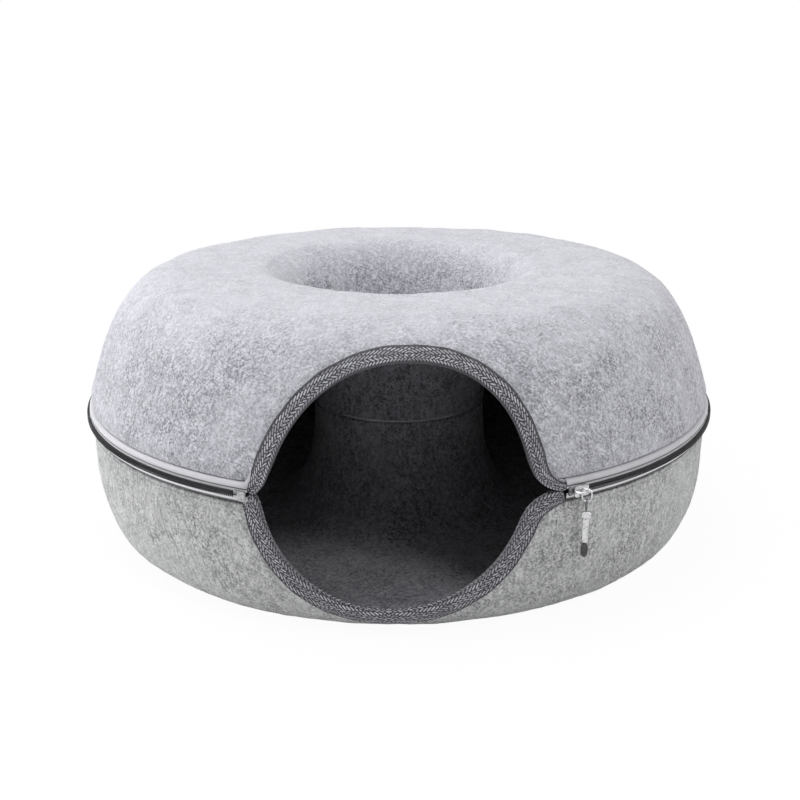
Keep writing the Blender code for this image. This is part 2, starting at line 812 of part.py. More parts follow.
def make_outer_pull(parent):
    """The D-shaped loop on the crown, and below it the link, collar, bar and slotted grip."""
    bar_place = Vector((LOOP_SLIP, 0, OUTER_ZIP.crown_height))
    facing = Matrix.Rotation(LOOP_YAW - math.pi / 2, 4, "Y")
    on_crown = OUTER_ZIP.frame(SLIDER_ARC) @ Matrix.Translation(bar_place) @ facing
    crown_pivot = empty("outer_pull_loop_pivot", parent, on_crown)
    points = oval(LOOP_HALF_WIDTH, LOOP_TOP, -LOOP_DROP, LOOP_POWER)
    loop = place("outer_pull_loop", wire("outer_pull_loop", points, LOOP_WIRE), crown_pivot)
    finish(loop, METAL_GREY, 0.3, 1)

    pivot = empty("outer_pull_pivot", crown_pivot, Matrix.Translation((0, -LOOP_DROP, 0)))
    link_top = LOOP_WIRE + CLEARANCE + LINK_WIRE
    link_end = link_top - LINK_LENGTH
    points = oval(LINK_HALF_WIDTH, link_top, link_end, LINK_POWER)
    edge_on = Matrix.Rotation(-math.pi / 2, 4, "Y")
    link = place("outer_pull_link", wire("outer_pull_link", points, LINK_WIRE), pivot, edge_on)
    finish(link, METAL_GREY, 0.3, 1)

    top = link_end - LINK_WIRE - CLEARANCE
    size = (COLLAR_WIDTH, COLLAR_HEIGHT, COLLAR_THICKNESS)
    at = Matrix.Translation((0, top - COLLAR_HEIGHT / 2, 0))
    collar = place("outer_pull_collar", block("outer_pull_collar", size, PULL_ROUNDING), pivot, at)
    finish(collar, METAL_GREY, 0.3, 1)

    top -= COLLAR_HEIGHT + CLEARANCE
    size = (BAR_WIDTH, BAR_LENGTH, BAR_THICKNESS)
    at = Matrix.Translation((0, top - BAR_LENGTH / 2, 0))
    bar = place("outer_pull_bar", block("outer_pull_bar", size, PULL_ROUNDING), pivot, at)
    finish(bar, METAL_GREY, 0.35, 1)

    top -= BAR_LENGTH + CLEARANCE
    slot_top = top - (GRIP_LENGTH - GRIP_SLOT_LENGTH) / 2
    outlines = [stadium(GRIP_WIDTH, top, GRIP_LENGTH), stadium(GRIP_SLOT_WIDTH, slot_top, GRIP_SLOT_LENGTH)]
    grip = place("outer_pull_grip", plate("outer_pull_grip", outlines, GRIP_THICKNESS), pivot)
    finish(grip, DARK_GREY, 0.5)


def make_hole_pull(parent):
    """The small loop on the crown of the hole's slider, and the flat tab that hangs in it."""
    bar_place = Vector((0, 0, HOLE_ZIP.crown_height))
    on_crown = HOLE_ZIP.frame(HOLE_SLIDER_ARC) @ Matrix.Translation(bar_place)
    pivot = empty("inner_pull_pivot", parent, on_crown)
    reach = CROWN_WIRE + CLEARANCE + HOLE_LOOP_WIRE
    points = oval(reach, reach, -HOLE_LOOP_DROP, LOOP_POWER)
    edge_on = Matrix.Rotation(-math.pi / 2, 4, "Y")
    loop = place("inner_pull_loop", wire("inner_pull_loop", points, HOLE_LOOP_WIRE), pivot, edge_on)
    finish(loop, METAL_GREY, 0.3, 1)

    eye_top = HOLE_LOOP_WIRE + CLEARANCE - HOLE_LOOP_DROP
    eye = stadium(2 * TAB_EYE_RADIUS, eye_top, 2 * TAB_EYE_RADIUS + CLEARANCE)
    body = stadium(TAB_WIDTH, eye_top + TAB_EYE_RIM, TAB_LENGTH)
    tab = place("inner_pull_tab", plate("inner_pull_tab", [body, eye], TAB_THICKNESS), pivot)
    finish(tab, METAL_GREY, 0.35, 1)


clear_scene()
PARTS = new_collection("Donut cat tunnel")
CUTTERS = new_collection("Cutters", helper=True)


def main():
    """Builds the tunnel body by body."""
    lower = empty("lower_half", matrix=Matrix.Translation((0, AXIS_Y, 0)))
    upper = empty("upper_half", lower)
    make_half(LOWER, lower)
    make_half(UPPER, upper)
    make_zip(
        OUTER_ZIP,
        bends=(UPPER_FELT_EDGE - CLEARANCE, LOWER_FELT_EDGE - CLEARANCE),
        tape_ends=(TAPE_LEFT, TAPE_RIGHT),
        coil_ends=(COIL_LEFT, SLIDER_ARC + COIL_START),
        arcs=(STOP_ARC, PIN_ARC, BOX_ARC),
        pin_length=PIN_LENGTH,
        bodies=(upper, lower),
    )
    make_zip(
        HOLE_ZIP,
        bends=(HOLE_SEAM_START, HOLE_SEAM_START),
        tape_ends=(-HOLE_TAPE_END, HOLE_TAPE_END),
        coil_ends=(HOLE_SLIDER_ARC - COIL_START, HOLE_COIL_START),
        arcs=(HOLE_STOP_ARC, HOLE_PIN_ARC, HOLE_BOX_ARC),
        pin_length=HOLE_PIN_LENGTH,
        bodies=(upper, lower),
    )
    outer_travel = empty("outer_slider_travel", lower)
    make_slider("outer_slider", OUTER_ZIP, SLIDER_ARC, outer_travel)
    make_outer_pull(outer_travel)
    hole_travel = empty("inner_slider_travel", lower)
    make_slider("inner_slider", HOLE_ZIP, HOLE_SLIDER_ARC, hole_travel)
    make_hole_pull(hole_travel)


main()
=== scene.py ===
"""Donut cat tunnel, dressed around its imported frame.

Two moulded felt halves, the webbing folded over the edge of the entrance, the zip round the outside
and the zip round the hole with their tapes, teeth, sliders and pulls, then the floor, the lamps and
the camera. Every length is in metres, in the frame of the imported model.
"""

import logging
import math
from dataclasses import dataclass, field
from enum import Enum
from typing import Sequence

import bmesh
import bpy
import numpy as np
from mathutils import Matrix, Quaternion, Vector


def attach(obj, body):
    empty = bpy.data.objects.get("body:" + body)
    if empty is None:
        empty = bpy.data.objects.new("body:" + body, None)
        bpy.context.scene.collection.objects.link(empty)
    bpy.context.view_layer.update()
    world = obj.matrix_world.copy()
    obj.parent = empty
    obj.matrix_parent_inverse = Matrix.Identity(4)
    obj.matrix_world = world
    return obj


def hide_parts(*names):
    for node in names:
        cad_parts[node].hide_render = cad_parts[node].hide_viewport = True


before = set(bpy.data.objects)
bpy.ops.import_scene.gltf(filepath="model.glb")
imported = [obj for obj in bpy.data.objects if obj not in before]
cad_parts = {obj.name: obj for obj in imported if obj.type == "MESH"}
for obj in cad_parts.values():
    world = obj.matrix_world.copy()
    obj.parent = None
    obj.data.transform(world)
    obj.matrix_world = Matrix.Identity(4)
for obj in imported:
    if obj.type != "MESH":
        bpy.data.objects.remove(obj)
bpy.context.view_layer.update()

LOG = logging.getLogger("donut_cat_tunnel")
FRONT = -math.pi / 2
BACK = math.pi / 2
SHARP_EDGE = math.radians(50)

Colour = tuple[float, float, float]
Point2 = tuple[float, float]
Point3 = tuple[float, float, float]
Span = tuple[float, float]


class Body(str, Enum):
    """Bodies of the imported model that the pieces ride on."""

    LOWER = "lower_half"
    UPPER = "upper_half"
    OUTER_LOOP = "outer_pull_loop"
    OUTER_PULL = "outer_pull"


class Slot(str, Enum):
    """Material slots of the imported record."""

    FELT = "felt"
    WEBBING = "webbing"
    TAPE = "zip_tape"
    COIL = "zip_coil"
    METAL = "zip_metal"
    GRIP = "grip"


# Mesh helpers


def smoothstep(value: np.ndarray, low: float, high: float) -> np.ndarray:
    """Rises smoothly from 0 at low to 1 at high.

    Args:
        value: The numbers to map.
        low: Where the rise starts.
        high: Where the rise ends.

    Returns:
        The mapped numbers, in the shape of value.
    """
    share = np.clip((value - low) / (high - low), 0, 1)
    return share * share * (3 - 2 * share)


def swept_faces(rows: int, columns: int, closed: bool) -> list[list[int]]:
    """The faces of a closed section that is swept along a path.

    Args:
        rows: Number of places along the path.
        columns: Number of points round the section.
        closed: Joins the path's end to its start. An open path gets a cap at each end.

    Returns:
        The numbers of each face's points.
    """
    row = np.arange(rows if closed else rows - 1)[:, None]
    column = np.arange(columns)[None, :]
    next_row, next_column = (row + 1) % rows, (column + 1) % columns
    corners = (
        row * columns + column,
        row * columns + next_column,
        next_row * columns + next_column,
        next_row * columns + column,
    )
    faces = np.stack(np.broadcast_arrays(*corners), -1).reshape(-1, 4).tolist()
    if not closed:
        faces.append(list(range(columns))[::-1])
        faces.append(list(range((rows - 1) * columns, rows * columns)))
    return faces


def grid_mesh(
    name: str,
    points: np.ndarray,
    closed: bool = False,
    marks: dict[str, np.ndarray] | None = None,
    uv: np.ndarray | None = None,
) -> bpy.types.Mesh:
    """The mesh of a closed section that is swept along a path.

    Args:
        name: Name of the mesh.
        points: Grid of points, rows along the path and columns round the section.
        closed: Joins the path's end to its start. An open path gets a cap at each end.
        marks: Numbers for each point, kept as attributes that a material can read.
        uv: Two lengths for each point, along the path and round the section.

    Returns:
        The mesh, with its faces turned outwards.
    """
    faces = swept_faces(*points.shape[:2], closed)
    mesh = bpy.data.meshes.new(name)
    mesh.from_pydata(points.reshape(-1, 3).tolist(), [], faces)
    for key, values in (marks or {}).items():
        attribute = mesh.attributes.new(key, "FLOAT", "POINT")
        attribute.data.foreach_set("value", np.ascontiguousarray(values, np.float32).ravel())
    if uv is not None:
        layer = mesh.uv_layers.new(name="Weave")
        vertex = np.zeros(len(mesh.loops), np.int32)
        mesh.loops.foreach_get("vertex_index", vertex)
        layer.data.foreach_set("uv", uv.reshape(-1, 2)[vertex].astype(np.float32).ravel())
    turn_outwards(mesh)
    return mesh


def turn_outwards(mesh: bpy.types.Mesh) -> None:
    """Turns the faces of a closed mesh outwards and shades them smooth.

    Args:
        mesh: The mesh to change.
    """
    work = bmesh.new()
    work.from_mesh(mesh)
    bmesh.ops.recalc_face_normals(work, faces=work.faces)
    work.to_mesh(mesh)
    work.free()
    mesh.shade_smooth()
    mesh.set_sharp_from_angle(angle=SHARP_EDGE)


def repeated_mesh(name: str, unit_faces: list[list[int]], points: np.ndarray) -> bpy.types.Mesh:
    """The mesh of one small closed form that is repeated many times.

    Args:
        name: Name of the mesh.
        unit_faces: Faces of the form.
        points: The placed points, one row for each copy.

    Returns:
        The mesh of all copies.
    """
    copies, count = points.shape[:2]
    faces = [[copy * count + corner for corner in face] for copy in range(copies) for face in unit_faces]
    mesh = bpy.data.meshes.new(name)
    mesh.from_pydata(points.reshape(-1, 3).tolist(), [], faces)
    turn_outwards(mesh)
    return mesh


def walked_along(points: np.ndarray) -> np.ndarray:
    """The length walked to each point of a path in the plane."""
    return np.concatenate([[0], np.cumsum(np.hypot(*np.diff(points, axis=0).T))])


def directions(points: np.ndarray) -> np.ndarray:
    """The unit direction of a path in the plane at each of its points."""
    run = np.gradient(points, axis=0)
    return run / np.hypot(*run.T)[:, None]


def read_at(lengths: np.ndarray, walked: np.ndarray, points: np.ndarray) -> np.ndarray:
    """Reads a path at the given lengths.

    Args:
        lengths: Where to read it.
        walked: The length walked to each of its points.
        points: Its points, with any count of numbers each.

    Returns:
        The numbers at each length.
    """
    return np.stack([np.interp(lengths, walked, column) for column in points.T], -1)


def tube(path: np.ndarray, radius: float | np.ndarray, sides: int, closed: bool = True) -> np.ndarray:
    """Points of a round wire that follows a path.

    Args:
        path: Points of the wire's middle.
        radius: Radius of the wire, one number or one for each point.
        sides: Points round the wire.
        closed: Whether the path returns to its start.

    Returns:
        A grid of points, one row for each point of the path.
    """
    count = len(path)
    after = np.roll(path, -1, 0) if closed else np.vstack([path[1:], 2 * path[-1] - path[-2]])
    before = np.roll(path, 1, 0) if closed else np.vstack([2 * path[0] - path[1], path[:-1]])
    run = after - before
    run /= np.linalg.norm(run, axis=1)[:, None]
    spread = np.ptp(path, axis=0)
    flat = np.eye(3)[int(np.argmin(spread))]
    side = np.cross(run, flat)
    side /= np.linalg.norm(side, axis=1)[:, None]
    other = np.cross(side, run)
    turn = 2 * math.pi * np.arange(sides) / sides
    reach = np.broadcast_to(np.asarray(radius, float), (count,))[:, None, None]
    across = np.cos(turn)[None, :, None] * side[:, None] + np.sin(turn)[None, :, None] * other[:, None]
    return path[:, None] + across * reach


def superellipse(half_width: float, half_height: float, power: float, steps: int) -> np.ndarray:
    """Points of a closed superellipse about the origin.

    Args:
        half_width: Half of its width.
        half_height: Half of its height.
        power: 2 for an ellipse, more for squarer corners.
        steps: Number of points.

    Returns:
        Two numbers for each point.
    """
    turn = 2 * math.pi * (np.arange(steps) + 0.5) / steps
    across = np.sign(np.cos(turn)) * np.abs(np.cos(turn)) ** (2 / power)
    along = np.sign(np.sin(turn)) * np.abs(np.sin(turn)) ** (2 / power)
    return np.stack([half_width * across, half_height * along], -1)


def lumps(
    points: np.ndarray, wavelength: float, seed: int, waves: int = 28, spread: Span = (0.6, 1.7)
) -> np.ndarray:
    """A smooth random field, made of plane waves in random directions.

    Args:
        points: Points to read the field at.
        wavelength: Middle wavelength of the field.
        seed: Seed of the random directions.
        waves: Number of waves.
        spread: Shortest and longest wave, as shares of the middle one.

    Returns:
        One number for each point, mostly between -1 and 1.
    """
    random = np.random.default_rng(seed)
    direction = random.normal(size=(waves, 3))
    direction /= np.linalg.norm(direction, axis=1)[:, None]
    rate = 2 * math.pi / (wavelength * random.uniform(*spread, waves))
    phase = random.uniform(0, 2 * math.pi, waves)
    total = np.sin(points @ (direction * rate[:, None]).T + phase).sum(-1)
    return total / math.sqrt(waves)


def add_object(name: str, mesh: bpy.types.Mesh, material: bpy.types.Material) -> bpy.types.Object:
    """Adds a piece to the scene.

    Args:
        name: Name of the piece.
        mesh: Its mesh, placed in the frame.
        material: Its material.

    Returns:
        The new object.
    """
    piece = bpy.data.objects.new(name, mesh)
    bpy.context.scene.collection.objects.link(piece)
    mesh.materials.clear()
    mesh.materials.append(material)
    return piece


def dress(piece: bpy.types.Object, body: Body, slot: Slot, *nodes: str) -> bpy.types.Object:
    """Lets a piece ride on its body and stand for the nodes that it replaces.

    Args:
        piece: The piece.
        body: The body that carries it.
        slot: The record's slot for its finish; not used.
        nodes: Nodes that it replaces.

    Returns:
        The piece.
    """
    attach(piece, body.value)
    if nodes:
        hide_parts(*nodes)
    LOG.info("%s rides on %s", piece.name, body.value)
    return piece


def applied(piece: bpy.types.Object) -> bpy.types.Mesh:
    """The mesh of an object with its modifiers applied.

    Args:
        piece: The object to read.

    Returns:
        A new mesh.
    """
    graph = bpy.context.evaluated_depsgraph_get()
    return bpy.data.meshes.new_from_object(piece.evaluated_get(graph))


# Materials


class Shader:
    """Builds the nodes of one material."""

    def __init__(self, name: str) -> None:
        """Starts a material with one Principled shader.

        Args:
            name: Name of the material.
        """
        self.material = bpy.data.materials.new(name)
        self.material.use_nodes = True
        self.tree = self.material.node_tree
        self.surface = self.tree.nodes["Principled BSDF"]
        self.place = self.add("ShaderNodeTexCoord").outputs["Object"]

    def add(self, kind: str, **settings: object) -> bpy.types.Node:
        """Adds a node.

        Args:
            kind: Type of the node.
            settings: Properties to set on it.

        Returns:
            The node.
        """
        node = self.tree.nodes.new(kind)
        for key, value in settings.items():
            setattr(node, key, value)
        return node

    def feed(self, node: bpy.types.Node, index: int | str, value: object) -> None:
        """Links a socket to an input, or sets the input.

        Args:
            node: The node to feed.
            index: Number or name of its input.
            value: A socket, a number or a tuple.
        """
        if isinstance(value, bpy.types.NodeSocket):
            self.tree.links.new(value, node.inputs[index])
        else:
            node.inputs[index].default_value = value

    def math(self, operation: str, *values: object) -> bpy.types.NodeSocket:
        """Adds a Math node.

        Args:
            operation: Name of its operation.
            values: Its inputs in order.

        Returns:
            Its result.
        """
        node = self.add("ShaderNodeMath", operation=operation)
        for index, value in enumerate(values):
            self.feed(node, index, value)
        return node.outputs[0]

    def times(self, first: object, second: object) -> bpy.types.NodeSocket:
        """The product of two numbers."""
        return self.math("MULTIPLY", first, second)

    def times_add(self, first: object, second: object, third: object) -> bpy.types.NodeSocket:
        """The product of two numbers, plus a third."""
        return self.math("MULTIPLY_ADD", first, second, third)

    def height(self) -> bpy.types.NodeSocket:
        """The height above the floor.

        Returns:
            The height in the object's own coordinates.
        """
        parts = self.add("ShaderNodeSeparateXYZ")
        self.feed(parts, 0, self.place)
        return parts.outputs[2]

    def scaled(self, scale: Sequence[float], turn: Sequence[float] = (0, 0, 0)) -> bpy.types.NodeSocket:
        """The object's own coordinates, turned and then scaled.

        Args:
            scale: Scale along each axis.
            turn: Turn about each axis in degrees.

        Returns:
            The new coordinates.
        """
        node = self.add("ShaderNodeMapping", vector_type="POINT")
        turned = self.add("ShaderNodeVectorRotate", rotation_type="EULER_XYZ")
        self.feed(turned, "Vector", self.place)
        self.feed(turned, "Rotation", tuple(math.radians(angle) for angle in turn))
        self.feed(node, "Vector", turned.outputs[0])
        self.feed(node, "Scale", tuple(scale))
        return node.outputs[0]

    def noise(
        self,
        scale: float,
        detail: float = 2,
        roughness: float = 0.5,
        place: bpy.types.NodeSocket | None = None,
    ) -> bpy.types.NodeSocket:
        """Adds a Noise texture.

        Args:
            scale: Its scale.
            detail: Number of finer layers.
            roughness: Weight of the finer layers.
            place: Coordinates to read it at, the object's own by default.

        Returns:
            A number about 0.5.
        """
        node = self.add("ShaderNodeTexNoise")
        self.feed(node, "Vector", place or self.place)
        self.feed(node, "Scale", scale)
        self.feed(node, "Detail", detail)
        self.feed(node, "Roughness", roughness)
        return node.outputs["Fac"]

    def ramp(self, value: bpy.types.NodeSocket, low: float, high: float) -> bpy.types.NodeSocket:
        """Maps a number from one range to 0 and 1, smoothly and clamped.

        Args:
            value: The number.
            low: What becomes 0.
            high: What becomes 1.

        Returns:
            The mapped number.
        """
        node = self.add("ShaderNodeMapRange", interpolation_type="SMOOTHSTEP")
        for index, number in enumerate((value, low, high, 0, 1)):
            self.feed(node, index, number)
        return node.outputs[0]

    def mix(self, share: object, first: object, second: object) -> bpy.types.NodeSocket:
        """Mixes two colours.

        Args:
            share: 0 for the first, 1 for the second.
            first: A colour or a socket.
            second: A colour or a socket.

        Returns:
            The mixed colour.
        """
        node = self.add("ShaderNodeMix", data_type="RGBA")
        self.feed(node, 0, share)
        for index, colour in ((6, first), (7, second)):
            self.feed(node, index, (*colour, 1) if isinstance(colour, tuple) else colour)
        return node.outputs[2]

    def attribute(self, name: str) -> bpy.types.NodeSocket:
        """Reads a number that the mesh keeps for each point.

        Args:
            name: Name of the attribute.

        Returns:
            The number.
        """
        return self.add("ShaderNodeAttribute", attribute_name=name).outputs["Fac"]

    def weave_place(self) -> tuple[bpy.types.NodeSocket, bpy.types.NodeSocket]:
        """Reads the weave's own coordinates from the mesh.

        Returns:
            The length along the path and the length round the section.
        """
        layer = self.add("ShaderNodeUVMap", uv_map="Weave")
        parts = self.add("ShaderNodeSeparateXYZ")
        self.feed(parts, 0, layer.outputs[0])
        return parts.outputs[0], parts.outputs[1]

    def bump(self, height: bpy.types.NodeSocket, distance: float, strength: float = 1) -> None:
        """Adds relief to the surface.

        Args:
            height: Height of the relief, 0 to 1.
            distance: Depth of the relief.
            strength: Its strength.
        """
        node = self.add("ShaderNodeBump")
        self.feed(node, "Height", height)
        self.feed(node, "Distance", distance)
        self.feed(node, "Strength", strength)
        self.tree.links.new(node.outputs[0], self.surface.inputs["Normal"])

    def set(self, **values: object) -> None:
        """Sets inputs of the shader, with underscores for the spaces in their names."""
        for key, value in values.items():
            self.feed(self.surface, key.replace("_", " "), value)


@dataclass(frozen=True)
class MelangeFelt:
    """Pressed felt of mixed pale and dark fibres, with smoother and with coarser patches.

    Attributes:
        pale, middle, shade: Colours of the fibres that the grain mixes.
        fleck, lint: Colours of the single dark and pale fibres.
        cloud: Colour of the broad clouds.
        coarse_shares, fleck_shares: What a patch adds to the share, and its least.
        calm_from, calm_to: Heights between which painted light makes the top paler and calmer.
    """

    name: str
    pale: Colour = (0.66, 0.655, 0.71)
    middle: Colour = (0.50, 0.497, 0.545)
    shade: Colour = (0.215, 0.213, 0.250)
    fleck: Colour = (0.12, 0.118, 0.138)
    lint: Colour = (0.86, 0.855, 0.90)
    cloud: Colour = (0.40, 0.40, 0.45)
    patch_scale: float = 34
    tuft_scale: float = 190
    grain_scale: float = 560
    cloud_scale: float = 85
    streak_scale: Point3 = (430, 430, 130)
    fibre_scale: Point3 = (760, 760, 150)
    fibre_turns: tuple[Point3, ...] = ((20, 65, 10), (75, -30, 50), (-50, 15, 120))
    grain_share: float = 0.42
    streak_share: float = 0.34
    tuft_share: float = 0.24
    coarse_shares: Span = (0.62, 0.34)
    fleck_shares: Span = (0.46, 0.30)
    lint_share: float = 0.40
    cloud_share: float = 0.30
    # Painted light on the top: how far it pales the felt, and how much of the felt's contrast it takes.
    top_light_share: float = 0.46
    top_light_contrast_loss: float = 0.42
    calm_from: float = 0.168
    calm_to: float = 0.205
    relief: float = 0.0007

    def build(self) -> bpy.types.Material:
        """Builds the material.

        Returns:
            The felt, mottled at three scales with dark and pale fibres in many directions.
        """
        shader = Shader(self.name)
        patches = shader.ramp(shader.noise(self.patch_scale, 4, 0.6), 0.36, 0.64)
        tufts = shader.noise(self.tuft_scale, 3, 0.6)
        grain = shader.noise(self.grain_scale, 2, 0.6)
        streaks = shader.noise(1, 3, 0.6, shader.scaled(self.streak_scale))
        blend = shader.times_add(grain, self.grain_share, shader.times(streaks, self.streak_share))
        blend = shader.ramp(shader.times_add(tufts, self.tuft_share, blend), 0.40, 0.60)
        # Painted light: above calm_from the felt turns paler and flatter, as if lit from above.
        calm = shader.ramp(shader.height(), self.calm_from, self.calm_to)
        contrast_under_top_light = shader.times_add(calm, -self.top_light_contrast_loss, 1.0)
        smooth = shader.mix(blend, self.middle, self.pale)
        coarse = shader.mix(blend, self.shade, self.pale)
        gather = shader.times(shader.times_add(patches, *self.coarse_shares), contrast_under_top_light)
        colour = shader.mix(gather, smooth, coarse)
        colour = shader.mix(shader.times(calm, self.top_light_share), colour, self.pale)
        clouds = shader.ramp(shader.noise(self.cloud_scale, 3, 0.6), 0.40, 0.66)
        colour = shader.mix(shader.times(clouds, self.cloud_share), colour, self.cloud)
        dark = pale = None
        for turn in self.fibre_turns:
            fibre = shader.noise(1, 1.5, 0.5, shader.scaled(self.fibre_scale, turn))
            strand = shader.ramp(fibre, 0.60, 0.68)
            light = shader.ramp(fibre, 0.37, 0.30)
            dark = strand if dark is None else shader.math("MAXIMUM", dark, strand)
            pale = light if pale is None else shader.math("MAXIMUM", pale, light)
        gather = shader.times(shader.times_add(patches, *self.fleck_shares), contrast_under_top_light)
        colour = shader.mix(shader.times(dark, gather), colour, self.fleck)
        lint = shader.times(pale, shader.times(contrast_under_top_light, self.lint_share))
        colour = shader.mix(lint, colour, self.lint)
        height = shader.times_add(pale, 0.35, blend)
        shader.set(Base_Color=colour, Roughness=0.95, Sheen_Weight=0.35, Sheen_Roughness=0.55)
        shader.set(Specular_IOR_Level=0.15)
        shader.bump(height, self.relief, 0.8)
        return shader.material


@dataclass(frozen=True)
class HerringboneWebbing:
    """Charcoal webbing woven in a herringbone, with painted highlights on its floats.

    Attributes:
        groove, yarn, bright: Painted shade between the yarns, their colour, and their painted highlight.
        filament_share: How much single filaments show.
    """

    name: str = "herringbone_webbing"
    groove: Colour = (0.007, 0.007, 0.009)
    yarn: Colour = (0.115, 0.114, 0.130)
    bright: Colour = (0.60, 0.595, 0.64)
    filament_scale: Point3 = (2600, 2600, 900)
    filament_turn: Point3 = (30, 20, 0)
    filament_share: float = 0.25
    patch_scale: float = 120
    relief: float = 0.00018

    def build(self) -> bpy.types.Material:
        """Builds the material.

        Returns:
            The webbing, which reads its ribs from the mesh.
        """
        shader = Shader(self.name)
        rib = shader.attribute("rib")
        painted_shine = shader.attribute("painted_shine")
        filament = shader.noise(1, 2, 0.6, shader.scaled(self.filament_scale, self.filament_turn))
        patch = shader.ramp(shader.noise(self.patch_scale, 2, 0.5), 0.35, 0.65)
        # Painted shade in the grooves between the floats and a painted highlight on their tops.
        colour = shader.mix(shader.ramp(rib, 0.32, 0.80), self.groove, self.yarn)
        painted_glint = shader.times(shader.ramp(rib, 0.45, 0.95), painted_shine)
        painted_glint = shader.times(painted_glint, shader.times_add(patch, 0.35, 0.65))
        colour = shader.mix(painted_glint, colour, self.bright)
        hairs = shader.times(shader.ramp(filament, 0.5, 0.68), self.filament_share)
        colour = shader.mix(hairs, colour, self.bright)
        shader.set(Base_Color=colour, Roughness=0.72, Sheen_Weight=0.2, Sheen_Roughness=0.5)
        shader.set(Specular_IOR_Level=0.35)
        shader.bump(filament, self.relief, 0.7)
        return shader.material


@dataclass(frozen=True)
class WovenTape:
    """Fine grey tape in a plain weave, with painted light beside the teeth.

    Attributes:
        zip_height: Height of the teeth, beside which a painted highlight and then painted shade follow.
        highlight_to, shade_to: How far from that height the painted highlight and painted shade reach.
    """

    name: str
    thread: Colour = (0.63, 0.625, 0.65)
    groove: Colour = (0.45, 0.445, 0.47)
    painted_highlight_line: Colour = (0.80, 0.80, 0.82)
    painted_shade_line: Colour = (0.13, 0.13, 0.135)
    zip_height: float | None = None
    highlight_to: float = 0.0031
    highlight_fade: float = 0.0002
    shade_to: float = 0.0040
    shade_fade: float = 0.0003
    pitch: float = 0.00042
    drift_scale: float = 160
    drift_share: float = 0.22
    relief: float = 0.00010

    def build(self) -> bpy.types.Material:
        """Builds the material.

        Returns:
            The tape, whose threads follow the mesh's own lengths.
        """
        shader = Shader(self.name)
        along, across = shader.weave_place()
        rate = 2 * math.pi / self.pitch
        warp = shader.math("SINE", shader.times(along, rate))
        weft = shader.math("SINE", shader.times(across, rate))
        weave = shader.times_add(shader.times(warp, weft), 0.5, 0.5)
        drift = shader.ramp(shader.noise(self.drift_scale, 3, 0.55), 0.35, 0.75)
        colour = shader.mix(shader.times_add(weave, 0.6, 0.4), self.groove, self.thread)
        colour = shader.mix(shader.times(drift, self.drift_share), colour, self.groove)
        # Painted highlight next to the teeth, then a painted shade line beyond it.
        if self.zip_height is not None:
            reach = shader.math("ABSOLUTE", shader.math("SUBTRACT", shader.height(), self.zip_height))
            dark = shader.ramp(reach, self.shade_to + self.shade_fade, self.shade_to)
            light = shader.ramp(reach, self.highlight_to + self.highlight_fade, self.highlight_to)
            colour = shader.mix(light, shader.mix(dark, colour, self.painted_shade_line), self.painted_highlight_line)
        shader.set(Base_Color=colour, Roughness=0.78, Sheen_Weight=0.15, Sheen_Roughness=0.5)
        shader.set(Specular_IOR_Level=0.3)
        shader.bump(weave, self.relief, 0.6)
        return shader.material


@dataclass(frozen=True)
class MouldedNylon:
    """Dark plastic with a slight bloom, for teeth and grips."""

    name: str
    body: Colour
    bloom: Colour
    roughness: float = 0.38
    bloom_scale: float = 420
    gloss_scale: float = 1900
    gloss_range: float = 0.25
    grain_scale: float = 2400
    relief: float = 0.00003

    def build(self) -> bpy.types.Material:
        """Builds the material.

        Returns:
            The plastic.
        """
        shader = Shader(self.name)
        bloom = shader.ramp(shader.noise(self.bloom_scale, 3, 0.6), 0.35, 0.75)
        colour = shader.mix(bloom, self.body, self.bloom)
        least = self.roughness - 0.12
        gloss = shader.times_add(shader.noise(self.gloss_scale, 2, 0.5), self.gloss_range, least)
        shader.set(Base_Color=colour, Roughness=gloss, Specular_IOR_Level=0.5)
        shader.bump(shader.noise(self.grain_scale, 2, 0.5), self.relief, 0.6)
        return shader.material


@dataclass(frozen=True)
class PlatedMetal:
    """Nickel plating with fine scratches and a few dull spots."""

    name: str
    bright: Colour = (0.68, 0.68, 0.69)
    dull: Colour = (0.20, 0.20, 0.21)
    roughness: float = 0.20
    tarnish_scale: float = 520
    tarnish_share: float = 0.8
    scratch_scale: Point3 = (6000, 6000, 500)
    scratch_turn: Point3 = (40, 10, 25)
    relief: float = 0.00002

    def build(self) -> bpy.types.Material:
        """Builds the material.

        Returns:
            The metal.
        """
        shader = Shader(self.name)
        tarnish = shader.ramp(shader.noise(self.tarnish_scale, 4, 0.65), 0.42, 0.75)
        scratch = shader.noise(1, 1, 0.5, shader.scaled(self.scratch_scale, self.scratch_turn))
        colour = shader.mix(shader.times(tarnish, self.tarnish_share), self.bright, self.dull)
        gloss = shader.times_add(tarnish, 0.16, self.roughness)
        gloss = shader.times_add(scratch, 0.12, gloss)
        shader.set(Base_Color=colour, Roughness=gloss, Metallic=1.0)
        shader.bump(scratch, self.relief, 0.5)
        return shader.material


@dataclass(frozen=True)
class SewingThread:
    """Twisted sewing thread."""

    name: str
    colour: Colour
    groove: Colour
    ply_scale: Point3 = (4200, 4200, 1600)
    ply_turn: Point3 = (15, 35, 0)
    relief: float = 0.00006

    def build(self) -> bpy.types.Material:
        """Builds the material.

        Returns:
            The thread.
        """
        shader = Shader(self.name)
        ply = shader.noise(1, 1, 0.5, shader.scaled(self.ply_scale, self.ply_turn))
        colour = shader.mix(shader.ramp(ply, 0.38, 0.62), self.groove, self.colour)
        shader.set(Base_Color=colour, Roughness=0.7, Sheen_Weight=0.2, Sheen_Roughness=0.5)
        shader.bump(ply, self.relief, 0.6)
        return shader.material


# Shape of the moulding


